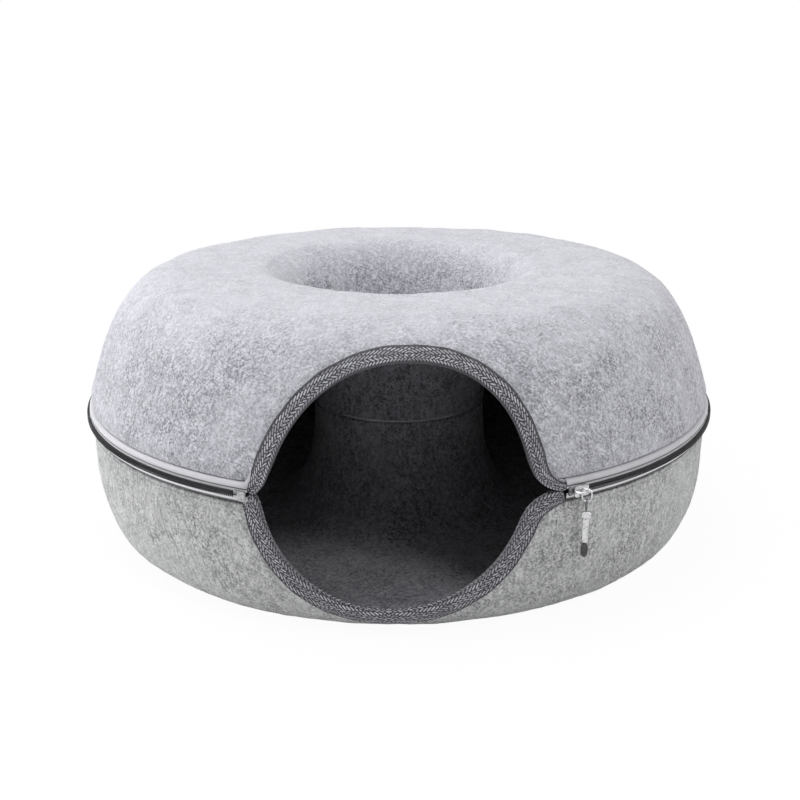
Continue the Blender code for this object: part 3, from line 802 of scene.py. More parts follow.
@dataclass(frozen=True)
class Arch:
    """The cut edge of the entrance in one half, in lengths along the felt.

    Attributes:
        half_width: Half of its width at the zip, without the flares.
        offset: Place of its middle at the zip, to the right of the front.
        power: Power of its superellipse.
        lean: How far its middle moves to the right with each length of height.
        right_flare, left_flare: How far each tip turns out at the zip.
        flare_fall: Height over which the flares fade.
    """

    half_width: float
    offset: float
    power: float
    lean: float
    right_flare: float
    left_flare: float
    flare_fall: float


@dataclass(frozen=True)
class Half:
    """What differs between the two felt halves.

    Attributes:
        side: 1 above the zip, -1 below it.
        level: Height of the top or the floor.
        felt_edge: Distance of the felt's edge from the zip's plane.
        shoulder_radius: Where the wall's curve turns level.
        wall_power, shoulder_power: Power of that curve at the wall and at the shoulder.
        lip_radius, hub_power: Where the curve down to the hole starts, and its power.
    """

    name: str
    side: int
    body: Body
    level: float
    felt_edge: float
    shoulder_radius: float
    wall_power: float
    shoulder_power: float
    lip_radius: float
    hub_power: float
    arch: Arch
    seed: int


@dataclass(frozen=True)
class Moulding:
    """Curves of the two halves, as the frame has them.

    Attributes:
        axis_y: Place of the ring's axis.
        felt_lip: Distance of the felt's edge from the hole zip's plane.
        outer_band, hole_band: Height of the upright band beside each zip.
        upper_rise: Height of the entrance above the zip, along the felt.
        sill: Length of felt between the entrance's lowest point and the level floor.
        normal_span: Length over which the felt's direction is read.
        lead: How far the wall's track goes on past the zip's plane.
    """

    axis_y: float = -0.00521
    zip_height: float = 0.098
    hole_height: float = 0.092
    wall_radius: float = 0.2455
    hole_radius: float = 0.066
    felt: float = 0.004
    felt_lip: float = 0.0010
    outer_band: float = 0.0083
    hole_band: float = 0.0140
    upper_rise: float = 0.093
    sill: float = 0.0322
    normal_span: float = 0.004
    lead: float = 0.05
    edge_step: float = 0.002
    steps: int = 64
    outline_steps: int = 1200

    def quarter(self, start: Point2, end: Point2, start_power: float, end_power: float) -> list[Point2]:
        """A quarter turn in section that ends level.

        Args:
            start: Its lower end on the wall, as radius and height.
            end: Its level end.
            start_power: Power of the superellipse at its start, 2 for an ellipse.
            end_power: Power of the superellipse at its end.

        Returns:
            Its points.
        """
        points = []
        for step in range(self.steps + 1):
            turn = math.pi / 2 * step / self.steps
            across = max(math.cos(turn), 0) ** (2 / end_power)
            along = math.sin(turn) ** (2 / start_power)
            points.append((end[0] + (start[0] - end[0]) * across, start[1] + (end[1] - start[1]) * along))
        return points

    def wall(self, half: Half, start: float) -> list[Point2]:
        """The wall's outer face in section, from a height on its upright band to the shoulder.

        Args:
            half: The half.
            start: Height of the first point.

        Returns:
            Its points.
        """
        band = (self.wall_radius, self.zip_height + half.side * (half.felt_edge + self.outer_band))
        shoulder = (half.shoulder_radius, half.level)
        curve = self.quarter(band, shoulder, half.wall_power, half.shoulder_power)
        return [(self.wall_radius, start)] + curve

    def skin(self, half: Half) -> np.ndarray:
        """The felt's outer face in section, from the outer zip over to the hole's zip.

        Args:
            half: The half.

        Returns:
            Radius and height of each point.
        """
        lip = self.hole_height + half.side * self.felt_lip
        band = (self.hole_radius, lip + half.side * self.hole_band)
        hub = self.quarter(band, (half.lip_radius, half.level), half.hub_power, half.hub_power)
        start = self.zip_height + half.side * half.felt_edge
        return np.array(self.wall(half, start) + hub[::-1] + [(self.hole_radius, lip)])

    def track(self, half: Half) -> tuple[np.ndarray, np.ndarray]:
        """The wall's outer face from the zip's plane up or down.

        Args:
            half: The half.

        Returns:
            The length walked to each point, and the points. The first lies before the plane.
        """
        points = np.array(self.wall(half, self.zip_height))
        first = (self.wall_radius, self.zip_height - half.side * self.lead)
        return np.concatenate([[-self.lead], walked_along(points)]), np.vstack([first, points])

    def rise(self, half: Half) -> float:
        """How far the entrance runs along the felt above or below the zip."""
        return self.upper_rise if half.side > 0 else float(self.track(half)[0][-1]) - self.sill

    def skin_points(
        self, half: Half, across: np.ndarray, height: np.ndarray, push: np.ndarray
    ) -> np.ndarray:
        """Places near the wall.

        Args:
            half: The half.
            across: Length along the felt from the middle of the front.
            height: Length along the felt from the zip's plane.
            push: Distance off the felt's outer face.

        Returns:
            The points.
        """
        lengths, points = self.track(half)
        place = read_at(height, lengths, points)
        before = read_at(height - self.normal_span, lengths, points)
        rise = read_at(height + self.normal_span, lengths, points) - before
        span = np.hypot(rise[..., 0], rise[..., 1])
        radius = place[..., 0] + push * half.side * rise[..., 1] / span
        level = place[..., 1] - push * half.side * rise[..., 0] / span
        azimuth = FRONT + across / self.wall_radius
        return np.stack([radius * np.cos(azimuth), self.axis_y + radius * np.sin(azimuth), level], -1)

    def outline(self, half: Half, spacing: float) -> np.ndarray:
        """The cut edge of the felt, from the right tip over to the left one.

        Args:
            half: The half.
            spacing: Distance between its points.

        Returns:
            Two lengths along the felt for each point.
        """
        arch = half.arch
        turn = math.pi / 2 * (1 - np.cos(np.linspace(0, math.pi, self.outline_steps)))
        height = self.rise(half) * np.maximum(np.sin(turn), 0) ** (2 / arch.power)
        width = arch.half_width * np.abs(np.cos(turn)) ** (2 / arch.power)
        right = np.cos(turn) > 0
        width += np.where(right, arch.right_flare, arch.left_flare) * np.exp(-height / arch.flare_fall)
        middle = arch.offset + arch.lean * height
        points = np.stack([np.where(right, middle + width, middle - width), height], -1)
        walked = walked_along(points)
        even = np.linspace(0, walked[-1], max(int(walked[-1] / spacing), 8) + 1)
        return read_at(even, walked, points)

    def opening_distance(self, half: Half, across: np.ndarray, height: np.ndarray) -> np.ndarray:
        """Distance of places on the felt from the edge of the entrance.

        Args:
            half: The half.
            across: Length along the felt from the middle of the front.
            height: Length along the felt from the zip's plane.

        Returns:
            The distance to the nearest point of the edge.
        """
        edge = self.outline(half, self.edge_step)
        gaps = np.hypot(across[..., None] - edge[:, 0], height[..., None] - edge[:, 1])
        return gaps.min(-1)


UPPER_ARCH = Arch(
    half_width=0.0868,
    offset=-0.0012,
    power=2.16,
    lean=0.093,
    right_flare=0.0245,
    left_flare=0.009,
    flare_fall=0.007,
)
LOWER_ARCH = Arch(
    half_width=0.0885,
    offset=-0.0045,
    power=1.83,
    lean=-0.034,
    right_flare=0.0245,
    left_flare=0.005,
    flare_fall=0.005,
)
UPPER = Half(
    name="upper",
    side=1,
    body=Body.UPPER,
    level=0.203,
    felt_edge=0.0079,
    shoulder_radius=0.152,
    wall_power=0.95,
    shoulder_power=3.8,
    lip_radius=0.112,
    hub_power=1.8,
    arch=UPPER_ARCH,
    seed=11,
)
LOWER = Half(
    name="lower",
    side=-1,
    body=Body.LOWER,
    level=0.0,
    felt_edge=0.0082,
    shoulder_radius=0.2105,
    wall_power=2.6,
    shoulder_power=2.6,
    lip_radius=0.112,
    hub_power=2.0,
    arch=LOWER_ARCH,
    seed=23,
)
SHAPE = Moulding()


# Felt


@dataclass
class FeltHalf:
    """One moulded felt half, with rounded edges and the unevenness of pressed felt.

    Attributes:
        columns, spacing, edge_spacing: Steps round the ring, along the felt and near its edges.
        swell, dimple: Height of the broad and of the fine unevenness.
        pinch: How far the binding presses the felt in, from pinch_from to pinch_to.
        calm_from, calm_to: Distances from the felt's edges where the unevenness starts.
        block_out, block_in, peak_out, peak_in: How far the cutting block reaches off the felt.
    """

    half: Half
    columns: int = 420
    corner_steps: int = 5
    spacing: float = 0.0032
    edge_spacing: float = 0.0007
    edge_zone: float = 0.008
    rounding: float = 0.0011
    swell: float = 0.00045
    swell_wave: float = 0.060
    dimple: float = 0.00012
    dimple_wave: float = 0.009
    pinch: float = 0.0006
    pinch_from: float = 0.0092
    pinch_to: float = 0.0140
    free_to: float = 0.022
    calm_from: float = 0.004
    calm_to: float = 0.022
    near_across: float = 0.14
    near_length: float = 0.13
    normal_span: float = 0.0015
    lining_share: float = 0.6
    cut_spacing: float = 0.0025
    peak_share: float = 0.2
    block_out: float = 0.012
    block_in: float = 0.010
    peak_out: float = 0.030
    peak_in: float = 0.060
    overrun: float = 0.010

    def section(self) -> tuple[np.ndarray, np.ndarray, np.ndarray]:
        """The closed section of the felt.

        Returns:
            The points as radius and height, their normals, and for each point the length along
            the felt and the depth below its outer face.
        """
        skin = SHAPE.skin(self.half)
        walked = walked_along(skin)
        total = float(walked[-1])
        dense = np.arange(self.rounding, self.edge_zone, self.edge_spacing)
        count = int((total - 2 * self.edge_zone) / self.spacing)
        middle = np.linspace(self.edge_zone, total - self.edge_zone, count)
        face = np.concatenate([dense, middle, (total - dense)[::-1]])
        turns = np.linspace(0, math.pi / 2, self.corner_steps)
        corner = [(math.sin(turn), 1 - math.cos(turn)) for turn in turns]
        thick = SHAPE.felt
        path = [(s, 0.0) for s in face]
        path += [(total - self.rounding * (1 - x), self.rounding * y) for x, y in corner[1:]]
        path += [(total - self.rounding * (1 - x), thick - self.rounding * y) for x, y in corner[::-1]]
        path += [(s, thick) for s in face[::-1]]
        path += [(self.rounding * (1 - x), thick - self.rounding * y) for x, y in corner[1:]]
        path += [(self.rounding * (1 - x), self.rounding * y) for x, y in corner[::-1][:-1]]
        place = np.array(path)
        moves = (-self.normal_span, 0, self.normal_span)
        before, here, after = (read_at(place[:, 0] + move, walked, skin) for move in moves)
        run = after - before
        run /= np.hypot(*run.T)[:, None]
        normal = np.stack([run[:, 1], -run[:, 0]], -1) * self.half.side
        return here - normal * place[:, 1:], normal, place

    def revolved(self, azimuth: np.ndarray, flat: np.ndarray) -> np.ndarray:
        """Turns a section about the axis.

        Args:
            azimuth: Angle of each row.
            flat: Radius and height of each point of the section.

        Returns:
            A grid of points, one row for each angle.
        """
        x = np.cos(azimuth)[:, None] * flat[:, 0]
        y = np.sin(azimuth)[:, None] * flat[:, 0]
        return np.stack([x, y, np.broadcast_to(flat[:, 1], x.shape)], -1)

    def mesh(self) -> bpy.types.Mesh:
        """The felt before the entrance is cut.

        Returns:
            The closed ring of felt.
        """
        flat, normal, place = self.section()
        azimuth = 2 * math.pi * np.arange(self.columns) / self.columns
        points = self.revolved(azimuth, flat)
        turned = (azimuth - FRONT + math.pi) % (2 * math.pi) - math.pi
        across = np.broadcast_to(turned[:, None] * SHAPE.wall_radius, points.shape[:2])
        length = np.broadcast_to(place[None, :, 0] + self.half.felt_edge, across.shape)
        gap = np.full(across.shape, np.inf)
        near = (np.abs(across) < self.near_across) & (length < self.near_length)
        gap[near] = SHAPE.opening_distance(self.half, across[near], length[near])
        from_edge = np.minimum(place[:, 0], place[:, 0].max() - place[:, 0])
        calm = smoothstep(from_edge, self.calm_from, self.calm_to)[None]
        free = calm * smoothstep(gap, self.pinch_from, self.free_to)
        deep = (place[:, 1] > SHAPE.felt / 2)[None]
        swell = lumps(points, self.swell_wave, self.half.seed) * self.swell
        wave = swell + lumps(points, self.dimple_wave, self.half.seed + 1) * self.dimple
        press = self.pinch * (1 - smoothstep(gap, self.pinch_from, self.pinch_to))
        move = wave * free - np.where(deep, -press, press)
        points = points + self.revolved(azimuth, normal) * move[..., None]
        points[..., 1] += SHAPE.axis_y
        points[..., 2] = np.clip(points[..., 2], 0, UPPER.level)
        mesh = grid_mesh(f"{self.half.name}_felt", points, closed=True)
        inner = np.tile(place[:, 1] > SHAPE.felt * self.lining_share, self.columns)
        corners = np.array([polygon.vertices[:] for polygon in mesh.polygons])
        mesh.polygons.foreach_set("material_index", inner[corners].all(1).astype(np.int32))
        return mesh

    def entrance(self) -> bpy.types.Object:
        """The block that cuts the entrance.

        Returns:
            A closed object that isn't shown.
        """
        edge = SHAPE.outline(self.half, self.cut_spacing)
        edge = np.vstack([(edge[0, 0], -self.overrun), edge, (edge[-1, 0], -self.overrun)])
        peak = np.array([[self.half.arch.offset, SHAPE.rise(self.half) * self.peak_share]])
        rings = [
            SHAPE.skin_points(self.half, *places.T, np.full(len(places), push))
            for places, push in (
                (edge, self.block_out),
                (edge, -self.block_in),
                (peak, self.peak_out),
                (peak, -self.peak_in),
            )
        ]
        count = len(edge)
        faces: list[tuple[int, ...]] = []
        for index in range(count):
            after = (index + 1) % count
            faces.append((index, after, count + index))
            faces.append((after, count + after, count + index))
            faces.append((after, index, 2 * count))
            faces.append((count + index, count + after, 2 * count + 1))
        mesh = bpy.data.meshes.new("entrance_block")
        mesh.from_pydata(np.vstack(rings).tolist(), [], faces)
        turn_outwards(mesh)
        block = bpy.data.objects.new("entrance_block", mesh)
        bpy.context.scene.collection.objects.link(block)
        return block

    def build(self, felt: bpy.types.Material, lining: bpy.types.Material) -> bpy.types.Object:
        """Builds the felt and cuts the entrance.

        Args:
            felt: Material of its outer face.
            lining: Material of its inner face, a darker copy of the felt with painted shade.

        Returns:
            The piece.
        """
        mesh = self.mesh()
        index = np.zeros(len(mesh.polygons), np.int32)
        mesh.polygons.foreach_get("material_index", index)
        piece = add_object(f"{self.half.name}_felt", mesh, felt)
        mesh.materials.append(lining)
        mesh.polygons.foreach_set("material_index", index)
        block = self.entrance()
        cut = piece.modifiers.new("Entrance", "BOOLEAN")
        cut.operation = "DIFFERENCE"
        cut.solver = "EXACT"
        cut.object = block
        mesh = applied(piece)
        piece.modifiers.clear()
        piece.data = mesh
        bpy.data.objects.remove(block, do_unlink=True)
        mesh.shade_smooth()
        mesh.set_sharp_from_angle(angle=SHARP_EDGE)
        return dress(piece, self.half.body, Slot.FELT, f"{self.half.name}_shell")


@dataclass
class ArchBinding:
    """Webbing that is folded over the felt's edge round one half of the entrance.

    Attributes:
        stand: How far its face stands off the felt.
        tip_shares, tip_fall: Share of the width at the right and left tip, and how it grows.
        rows, slants: Borders between the rows of floats, and the angle of each row's floats.
        yarn, float_length: Width and length of one float of yarn.
        shift, row_shift: How floats are staggered from strand to strand and row to row.
        rim, valley, seam: Distances over which the relief sinks at borders.
        wander, wander_waves: How far its outer edge wanders, and the lengths of the waves.
    """

    half: Half
    width: float = 0.0102
    thickness: float = 0.0009
    stand: float = 0.0011
    step: float = 0.0004
    tip_shares: Span = (0.5, 0.78)
    tip_fall: float = 0.012
    clearance: float = 0.0003
    face_steps: int = 31
    nose_steps: int = 17
    nose_power: float = 2.7
    selvedge_pitch: float = 0.0009
    selvedge_level: float = 0.48
    selvedge_depth: float = 0.14
    # The shine numbers set the painted highlight that the webbing's material puts on the yarn tops.
    selvedge_painted_shine: float = 0.12
    sway: float = 0.9
    fine_pitch: float = 0.0011
    fine_level: float = 0.52
    fine_depth: float = 0.16
    fine_painted_shine: float = 0.20
    rim: Span = (0.0002, 0.0009)
    rim_level: float = 0.3
    valley: Span = (-0.0001, 0.0005)
    valley_level: float = 0.4
    seam: Span = (0.0003, 0.0006)
    rows: tuple[float, ...] = (0.0015, 0.0068, 0.0096, 0.0122)
    slants: tuple[float, ...] = (28.0, -33.0, 42.0)
    yarn: float = 0.0017
    float_length: float = 0.0050
    shift: float = 0.38
    row_shift: float = 0.31
    ridge_power: float = 0.85
    ridge_level: float = 0.35
    dash_rise: Span = (0.0, 0.14)
    dash_fall: Span = (0.82, 0.98)
    luck_rates: Point3 = (12.9898, 78.233, 3.7)
    least_painted_shine: float = 0.40
    relief: float = 0.00042
    wander: float = 0.00035
    wander_waves: Span = (0.013, 0.0047)
    inside_rib: float = 0.3
    inside_painted_shine: float = 0.2

    def section(self) -> tuple[np.ndarray, np.ndarray, np.ndarray]:
        """The folded section of the webbing.

        Returns:
            Margin and push of each point, which way each point's relief goes, and the width of
            webbing from its outer edge to each point of its face. Points inside have none, -1.
        """
        faces = np.linspace(1, 0, self.face_steps)
        half_height = SHAPE.felt / 2 + self.stand
        nose = np.linspace(math.pi / 2, -math.pi / 2, self.nose_steps)[1:-1]
        power = 2 / self.nose_power
        nose_m = -self.stand * np.abs(np.cos(nose)) ** power
        nose_p = np.sign(np.sin(nose)) * half_height * np.abs(np.sin(nose)) ** power - SHAPE.felt / 2
        outer = [(self.width * share, self.stand) for share in faces]
        inner = [(self.width * share, -SHAPE.felt - self.stand) for share in faces[::-2]]
        shell = np.array(outer + list(zip(nose_m, nose_p)) + inner)
        slim = self.thickness
        back_nose_m = nose_m * (1 - slim / self.stand)
        back_nose_p = (nose_p + SHAPE.felt / 2) * (1 - slim / half_height) - SHAPE.felt / 2
        back = [(self.width * share, -SHAPE.felt - self.stand + slim) for share in faces[::5]]
        back += list(zip(back_nose_m[::-2], back_nose_p[::-2]))
        back += [(self.width * share, self.stand - slim) for share in faces[::-5]]
        run = directions(shell)
        relief = np.stack([run[:, 1], -run[:, 0]], -1)
        walked = walked_along(shell)
        points = np.vstack([shell, np.array(back)])
        empty = np.zeros((len(back), 2))
        return points, np.vstack([relief, empty]), np.concatenate([walked, np.full(len(back), -1.0)])

    def weave(self, along: np.ndarray, across: np.ndarray) -> tuple[np.ndarray, np.ndarray]:
        """Relief of the weave, and the strength of its painted highlight.

        Args:
            along: Length along the webbing from the middle of the arch.
            across: Width from the webbing's outer edge.

        Returns:
            The height of the ribs and the strength of the painted highlight on their tops, both 0 to 1.
        """
        turn = 2 * math.pi
        wave = self.sway * np.sin(turn * along / self.float_length)
        rib = self.selvedge_level + self.selvedge_depth * np.cos(turn * across / self.selvedge_pitch + wave)
        painted_shine = np.full(rib.shape, self.selvedge_painted_shine)
        for number, slant in enumerate(self.slants):
            first, last = self.rows[number], self.rows[number + 1]
            float_rib, float_painted_shine = self.floats(along, across, math.radians(slant), number)
            valley = smoothstep(np.minimum(across - first, last - across), *self.valley)
            float_rib = float_rib * (self.valley_level + (1 - self.valley_level) * valley)
            inside = (across >= first) & (across < last)
            rib = np.where(inside, float_rib, rib)
            painted_shine = np.where(inside, float_painted_shine, painted_shine)
        end = smoothstep(across, self.rows[-1] - self.seam[0], self.rows[-1] + self.seam[1])
        fine = np.cos(turn * along / self.fine_pitch) * np.cos(turn * across / self.fine_pitch)
        fine = self.fine_level + self.fine_depth * fine
        edge = self.rim_level + (1 - self.rim_level) * smoothstep(across, *self.rim)
        return (rib * (1 - end) + fine * end) * edge, painted_shine * (1 - end) + self.fine_painted_shine * end

    def floats(
        self, along: np.ndarray, across: np.ndarray, slant: float, number: int
    ) -> tuple[np.ndarray, np.ndarray]:
        """Relief and painted highlight of the slanting yarn floats in one row.

        Args:
            along: Length along the webbing.
            across: Width from the webbing's outer edge.
            slant: Angle of the floats to the webbing's length.
            number: Number of the row.

        Returns:
            The height of the floats and the strength of their painted highlight, both 0 to 1.
        """
        run = along * math.cos(slant) + across * math.sin(slant)
        line = (across * math.cos(slant) - along * math.sin(slant)) / self.yarn
        strand = np.floor(line)
        ridge = np.sin(math.pi * (line - strand)) ** self.ridge_power
        part = run / self.float_length + self.shift * strand + self.row_shift * number
        step = np.floor(part)
        dash = smoothstep(part - step, *self.dash_rise) * (1 - smoothstep(part - step, *self.dash_fall))
        strand_rate, step_rate, row_rate = self.luck_rates
        luck = 0.5 + 0.5 * np.sin(strand * strand_rate + step * step_rate + number * row_rate)
        height = ridge * (self.ridge_level + (1 - self.ridge_level) * dash)
        return height, self.least_painted_shine + (1 - self.least_painted_shine) * luck

    def build(self, material: bpy.types.Material) -> bpy.types.Object:
        """Builds the binding.

        Args:
            material: The webbing's material.

        Returns:
            The piece.
        """
        edge = SHAPE.outline(self.half, self.step)
        run = directions(edge)
        away = np.stack([run[:, 1], -run[:, 0]], -1)
        walked = walked_along(edge)
        section, relief, across = self.section()
        tip = np.where(edge[:, 0] > self.half.arch.offset, *self.tip_shares)
        share = 1 - (1 - tip) * np.exp(-edge[:, 1] / self.tip_fall)
        long_wave, short_wave = self.wander_waves
        uneven = self.wander * np.sin(walked / long_wave + self.half.seed) * np.sin(walked / short_wave)
        margin = np.broadcast_to(section[:, 0], (len(edge), len(section)))
        scale = np.where(margin > 0, share[:, None], 1.0)
        margin = margin * scale + np.where(margin > self.width / 2, uneven[:, None], 0)
        face = across >= 0
        along = np.abs(walked - walked[np.argmax(edge[:, 1])])
        rib, painted_shine = self.weave(along[:, None], np.broadcast_to(across, margin.shape))
        lift = np.where(face, (rib - 0.5) * self.relief, 0)
        margin = margin + lift * relief[:, 0]
        push = section[:, 1] + lift * relief[:, 1]
        side = edge[:, None, 0] + away[:, None, 0] * margin
        height = edge[:, None, 1] + away[:, None, 1] * margin
        height = np.maximum(height, self.clearance)
        points = SHAPE.skin_points(self.half, side, height, push)
        # The shine mark sets where the webbing's material paints a highlight.
        marks = {
            "rib": np.where(face, rib, self.inside_rib),
            "painted_shine": np.where(face, painted_shine, self.inside_painted_shine),
        }
        mesh = grid_mesh(f"{self.half.name}_binding", points, marks=marks)
        piece = add_object(f"{self.half.name}_binding", mesh, material)
        return dress(piece, self.half.body, Slot.WEBBING, f"{self.half.name}_arch_binding")


# Zips


@dataclass(frozen=True)
class ZipTrack:
    """Where a zip runs.

    Attributes:
        facing: 1 where its teeth face away from the axis, -1 towards it.
        face: Radius of the tape's face.
        arc_radius: Radius at which lengths round the zip are measured.
        start: Angle of the middle of its gap.
        tape_ends, coil_ends: Lengths from there to the left and right end.
    """

    name: str
    facing: int
    height: float
    face: float
    arc_radius: float
    start: float
    tape_ends: Span
    coil_ends: Span

    def azimuth(self, arc: float) -> float:
        """Angle of a place this far round the zip from its middle."""
        return self.start + arc / self.arc_radius

    def frame(self, arc: float) -> Matrix:
        """A place on the tape's face.

        Args:
            arc: Length round the zip from its middle.

        Returns:
            X along the zip to its closed part, Y up and Z off the tape.
        """
        azimuth = self.azimuth(arc)
        out = Vector((math.cos(azimuth), math.sin(azimuth), 0)) * self.facing
        up = Vector((0, 0, 1))
        matrix = Matrix((up.cross(out), up, out)).transposed().to_4x4()
        matrix.translation = out * self.facing * self.face + up * self.height + Vector((0, SHAPE.axis_y, 0))
        return matrix

    def sweep(self, ends: Span, spacing: float) -> np.ndarray:
        """Azimuths from one end of a tape or coil round the ring to the other.

        Args:
            ends: Arcs of the left and right end of the gap.
            spacing: Distance between two azimuths.

        Returns:
            The azimuths, rising from the right end of the gap.
        """
        first = self.azimuth(ends[1])
        last = self.azimuth(ends[0]) + 2 * math.pi
        return np.linspace(first, last, int((last - first) * self.face / spacing) + 1)

    def on_ring(self, azimuth: np.ndarray, off: np.ndarray, height: np.ndarray) -> np.ndarray:
        """Points on the ring.

        Args:
            azimuth: Angle of each point.
            off: Distance off the tape's face.
            height: Height above the zip's plane.

        Returns:
            The points.
        """
        radius = self.face + self.facing * off
        level = self.height + height + 0 * radius
        return np.stack([radius * np.cos(azimuth), SHAPE.axis_y + radius * np.sin(azimuth), level], -1)


OUTER = ZipTrack(
    name="outer_zip",
    facing=1,
    height=SHAPE.zip_height,
    face=0.2478,
    arc_radius=SHAPE.wall_radius,
    start=FRONT,
    tape_ends=(-0.09917, 0.110645),
    coil_ends=(-0.10827, 0.119645),
)
HOLE = ZipTrack(
    name="inner_zip",
    facing=-1,
    height=SHAPE.hole_height,
    face=0.0630,
    arc_radius=SHAPE.hole_radius,
    start=BACK,
    tape_ends=(-0.0015, 0.0015),
    coil_ends=(-0.0093, 0.0081),
)


def slab_section(front: np.ndarray, thickness: float, steps: int) -> tuple[np.ndarray, np.ndarray]:
    """The closed section of a band of cloth.

    Args:
        front: Points of its front, as distance off the tape's face and height.
        thickness: Its thickness.
        steps: Number of points on its front.

    Returns:
        The points of the front and back, and the width walked to each of them.
    """
    walked = walked_along(front)
    even = np.linspace(0, walked[-1], steps)
    front = read_at(even, walked, front)
    front[1:-1] = (front[:-2] + 2 * front[1:-1] + front[2:]) / 4
    run = directions(front)
    back = front - np.stack([run[:, 1], -run[:, 0]], -1) * thickness
    return np.vstack([front, back[::-1]]), np.concatenate([even, even[::-1]])


@dataclass
class ZipTape:
    """One woven tape of a zip: a ridge beside the teeth, the band that shows, and its seam."""

    track: ZipTrack
    half: Half
    front: Sequence[Point2]
    thickness: float = 0.0008
    spacing: float = 0.0030
    steps: int = 46
    ripple: float = 0.00012
    ripple_waves: Span = (0.019, 0.0071)
    shown_from: Span = (0.0035, 0.005)
    shown_to: Span = (0.0078, 0.0088)

    def build(self, material: bpy.types.Material) -> bpy.types.Object:
        """Builds the tape.

        Args:
            material: The tape's material.

        Returns:
            The piece.
        """
        section, width = slab_section(np.array(self.front), self.thickness, self.steps)
        azimuth = self.track.sweep(self.track.tape_ends, self.spacing)
        arc = azimuth * self.track.face
        long_wave, short_wave = self.ripple_waves
        wave = self.ripple * np.sin(arc / long_wave + self.half.side) * np.sin(arc / short_wave)
        shown = smoothstep(section[:, 1], *self.shown_from)
        shown = shown * (1 - smoothstep(section[:, 1], *self.shown_to))
        off = section[None, :, 0] + wave[:, None] * shown
        height = np.broadcast_to(self.half.side * section[None, :, 1], off.shape)
        points = self.track.on_ring(np.broadcast_to(azimuth[:, None], off.shape), off, height)
        uv = np.stack(np.broadcast_arrays(arc[:, None], width[None]), -1)
        name = f"{self.track.name}_{self.half.name}_tape"
        piece = add_object(f"{name}_woven", grid_mesh(name, points, uv=uv), material)
        return dress(piece, self.half.body, Slot.TAPE, name)


@dataclass
class ZipTeeth:
    """One side of a zip's teeth: a wire wound in flat loops that reach over the parting line.

    Attributes:
        near, far: How far the loops lie off the tape.
        root, head: Centres of a loop's two bends, from the zip's plane.
        lean: How far a loop leans along the zip.
    """

    track: ZipTrack
    half: Half
    pitch: float = 0.00145
    wire: float = 0.00033
    near: float = 0.00063
    far: float = 0.00187
    root: float = 0.0014
    head: float = 0.0003
    lean: float = 0.00016
    sides: int = 6
    turns: int = 5

    def loop(self) -> np.ndarray:
        """One loop of the wire.

        Returns:
            A grid of points along the zip, up from its plane and off the tape.
        """
        middle, reach = (self.near + self.far) / 2, (self.far - self.near) / 2
        path = []
        for centre, first in ((self.root, -math.pi / 2), (self.head, math.pi / 2)):
            for turn in np.linspace(first, first + math.pi, self.turns):
                off = middle + reach * math.sin(turn)
                path.append((self.lean * math.sin(turn), centre + reach * math.cos(turn), off))
        return tube(np.array(path), self.wire, self.sides)

    def build(self, material: bpy.types.Material) -> bpy.types.Object:
        """Builds the teeth.

        Args:
            material: Their material.

        Returns:
            The piece.
        """
        unit = self.loop()
        faces = swept_faces(len(unit), self.sides, True)
        flat = unit.reshape(-1, 3)
        azimuth = self.track.sweep(self.track.coil_ends, self.pitch)
        azimuth = azimuth[1:-1] + (0 if self.half.side > 0 else self.pitch / 2 / self.track.face)
        turn = azimuth[:, None] + self.track.facing * flat[None, :, 0] / self.track.face
        off = np.broadcast_to(flat[None, :, 2], turn.shape)
        height = np.broadcast_to(self.half.side * flat[None, :, 1], turn.shape)
        points = self.track.on_ring(turn, off, height)
        name = f"{self.track.name}_{self.half.name}_coil"
        piece = add_object(f"{name}_teeth", repeated_mesh(name, faces, points), material)
        return dress(piece, self.half.body, Slot.COIL, name)


@dataclass
class SeamStitches:
    """The row of stitches that holds a tape behind the felt."""

    half: Half
    track: ZipTrack
    below: float = 0.0030
    length: float = 0.0026
    pitch: float = 0.0036
    thread: float = 0.00026
    bow: float = 0.00022
    taper: float = 0.6
    margin: float = 0.016
    jitter: float = 0.0006
    tilt: float = 0.05
    seed: int = 5
    steps: int = 7
    sides: int = 6

    def build(self, material: bpy.types.Material) -> bpy.types.Object:
        """Builds the stitches.

        Args:
            material: The thread's material.

        Returns:
            The piece.
        """
        share = np.linspace(-1, 1, self.steps)
        path = np.stack([share * self.length / 2, 0 * share, self.bow * (1 - share**2) - self.bow / 2], -1)
        unit = tube(path, self.thread * (1 - self.taper * share**4), self.sides, closed=False)
        ends = self.track.tape_ends
        ends = (ends[0] - self.margin, ends[1] + self.margin)
        azimuth = self.track.sweep(ends, self.pitch)
        random = np.random.default_rng(self.seed)
        azimuth = azimuth + random.uniform(-1, 1, len(azimuth)) * self.jitter
        tilt = random.uniform(-1, 1, len(azimuth)) * self.tilt
        flat = unit.reshape(-1, 3)
        turn = azimuth[:, None] + flat[None, :, 0] / SHAPE.wall_radius
        level = flat[None, :, 1] + tilt[:, None] * flat[None, :, 0]
        radial = SHAPE.wall_radius + flat[None, :, 2] + 0 * turn
        height = SHAPE.zip_height + self.half.side * (self.half.felt_edge + self.below) + level
        points = np.stack([radial * np.cos(turn), SHAPE.axis_y + radial * np.sin(turn), height], -1)
        faces = swept_faces(len(unit), self.sides, False)
        mesh = repeated_mesh(f"{self.half.name}_seam", faces, points)
        piece = add_object(f"{self.half.name}_seam_stitches", mesh, material)
        return dress(piece, self.half.body, Slot.FELT)


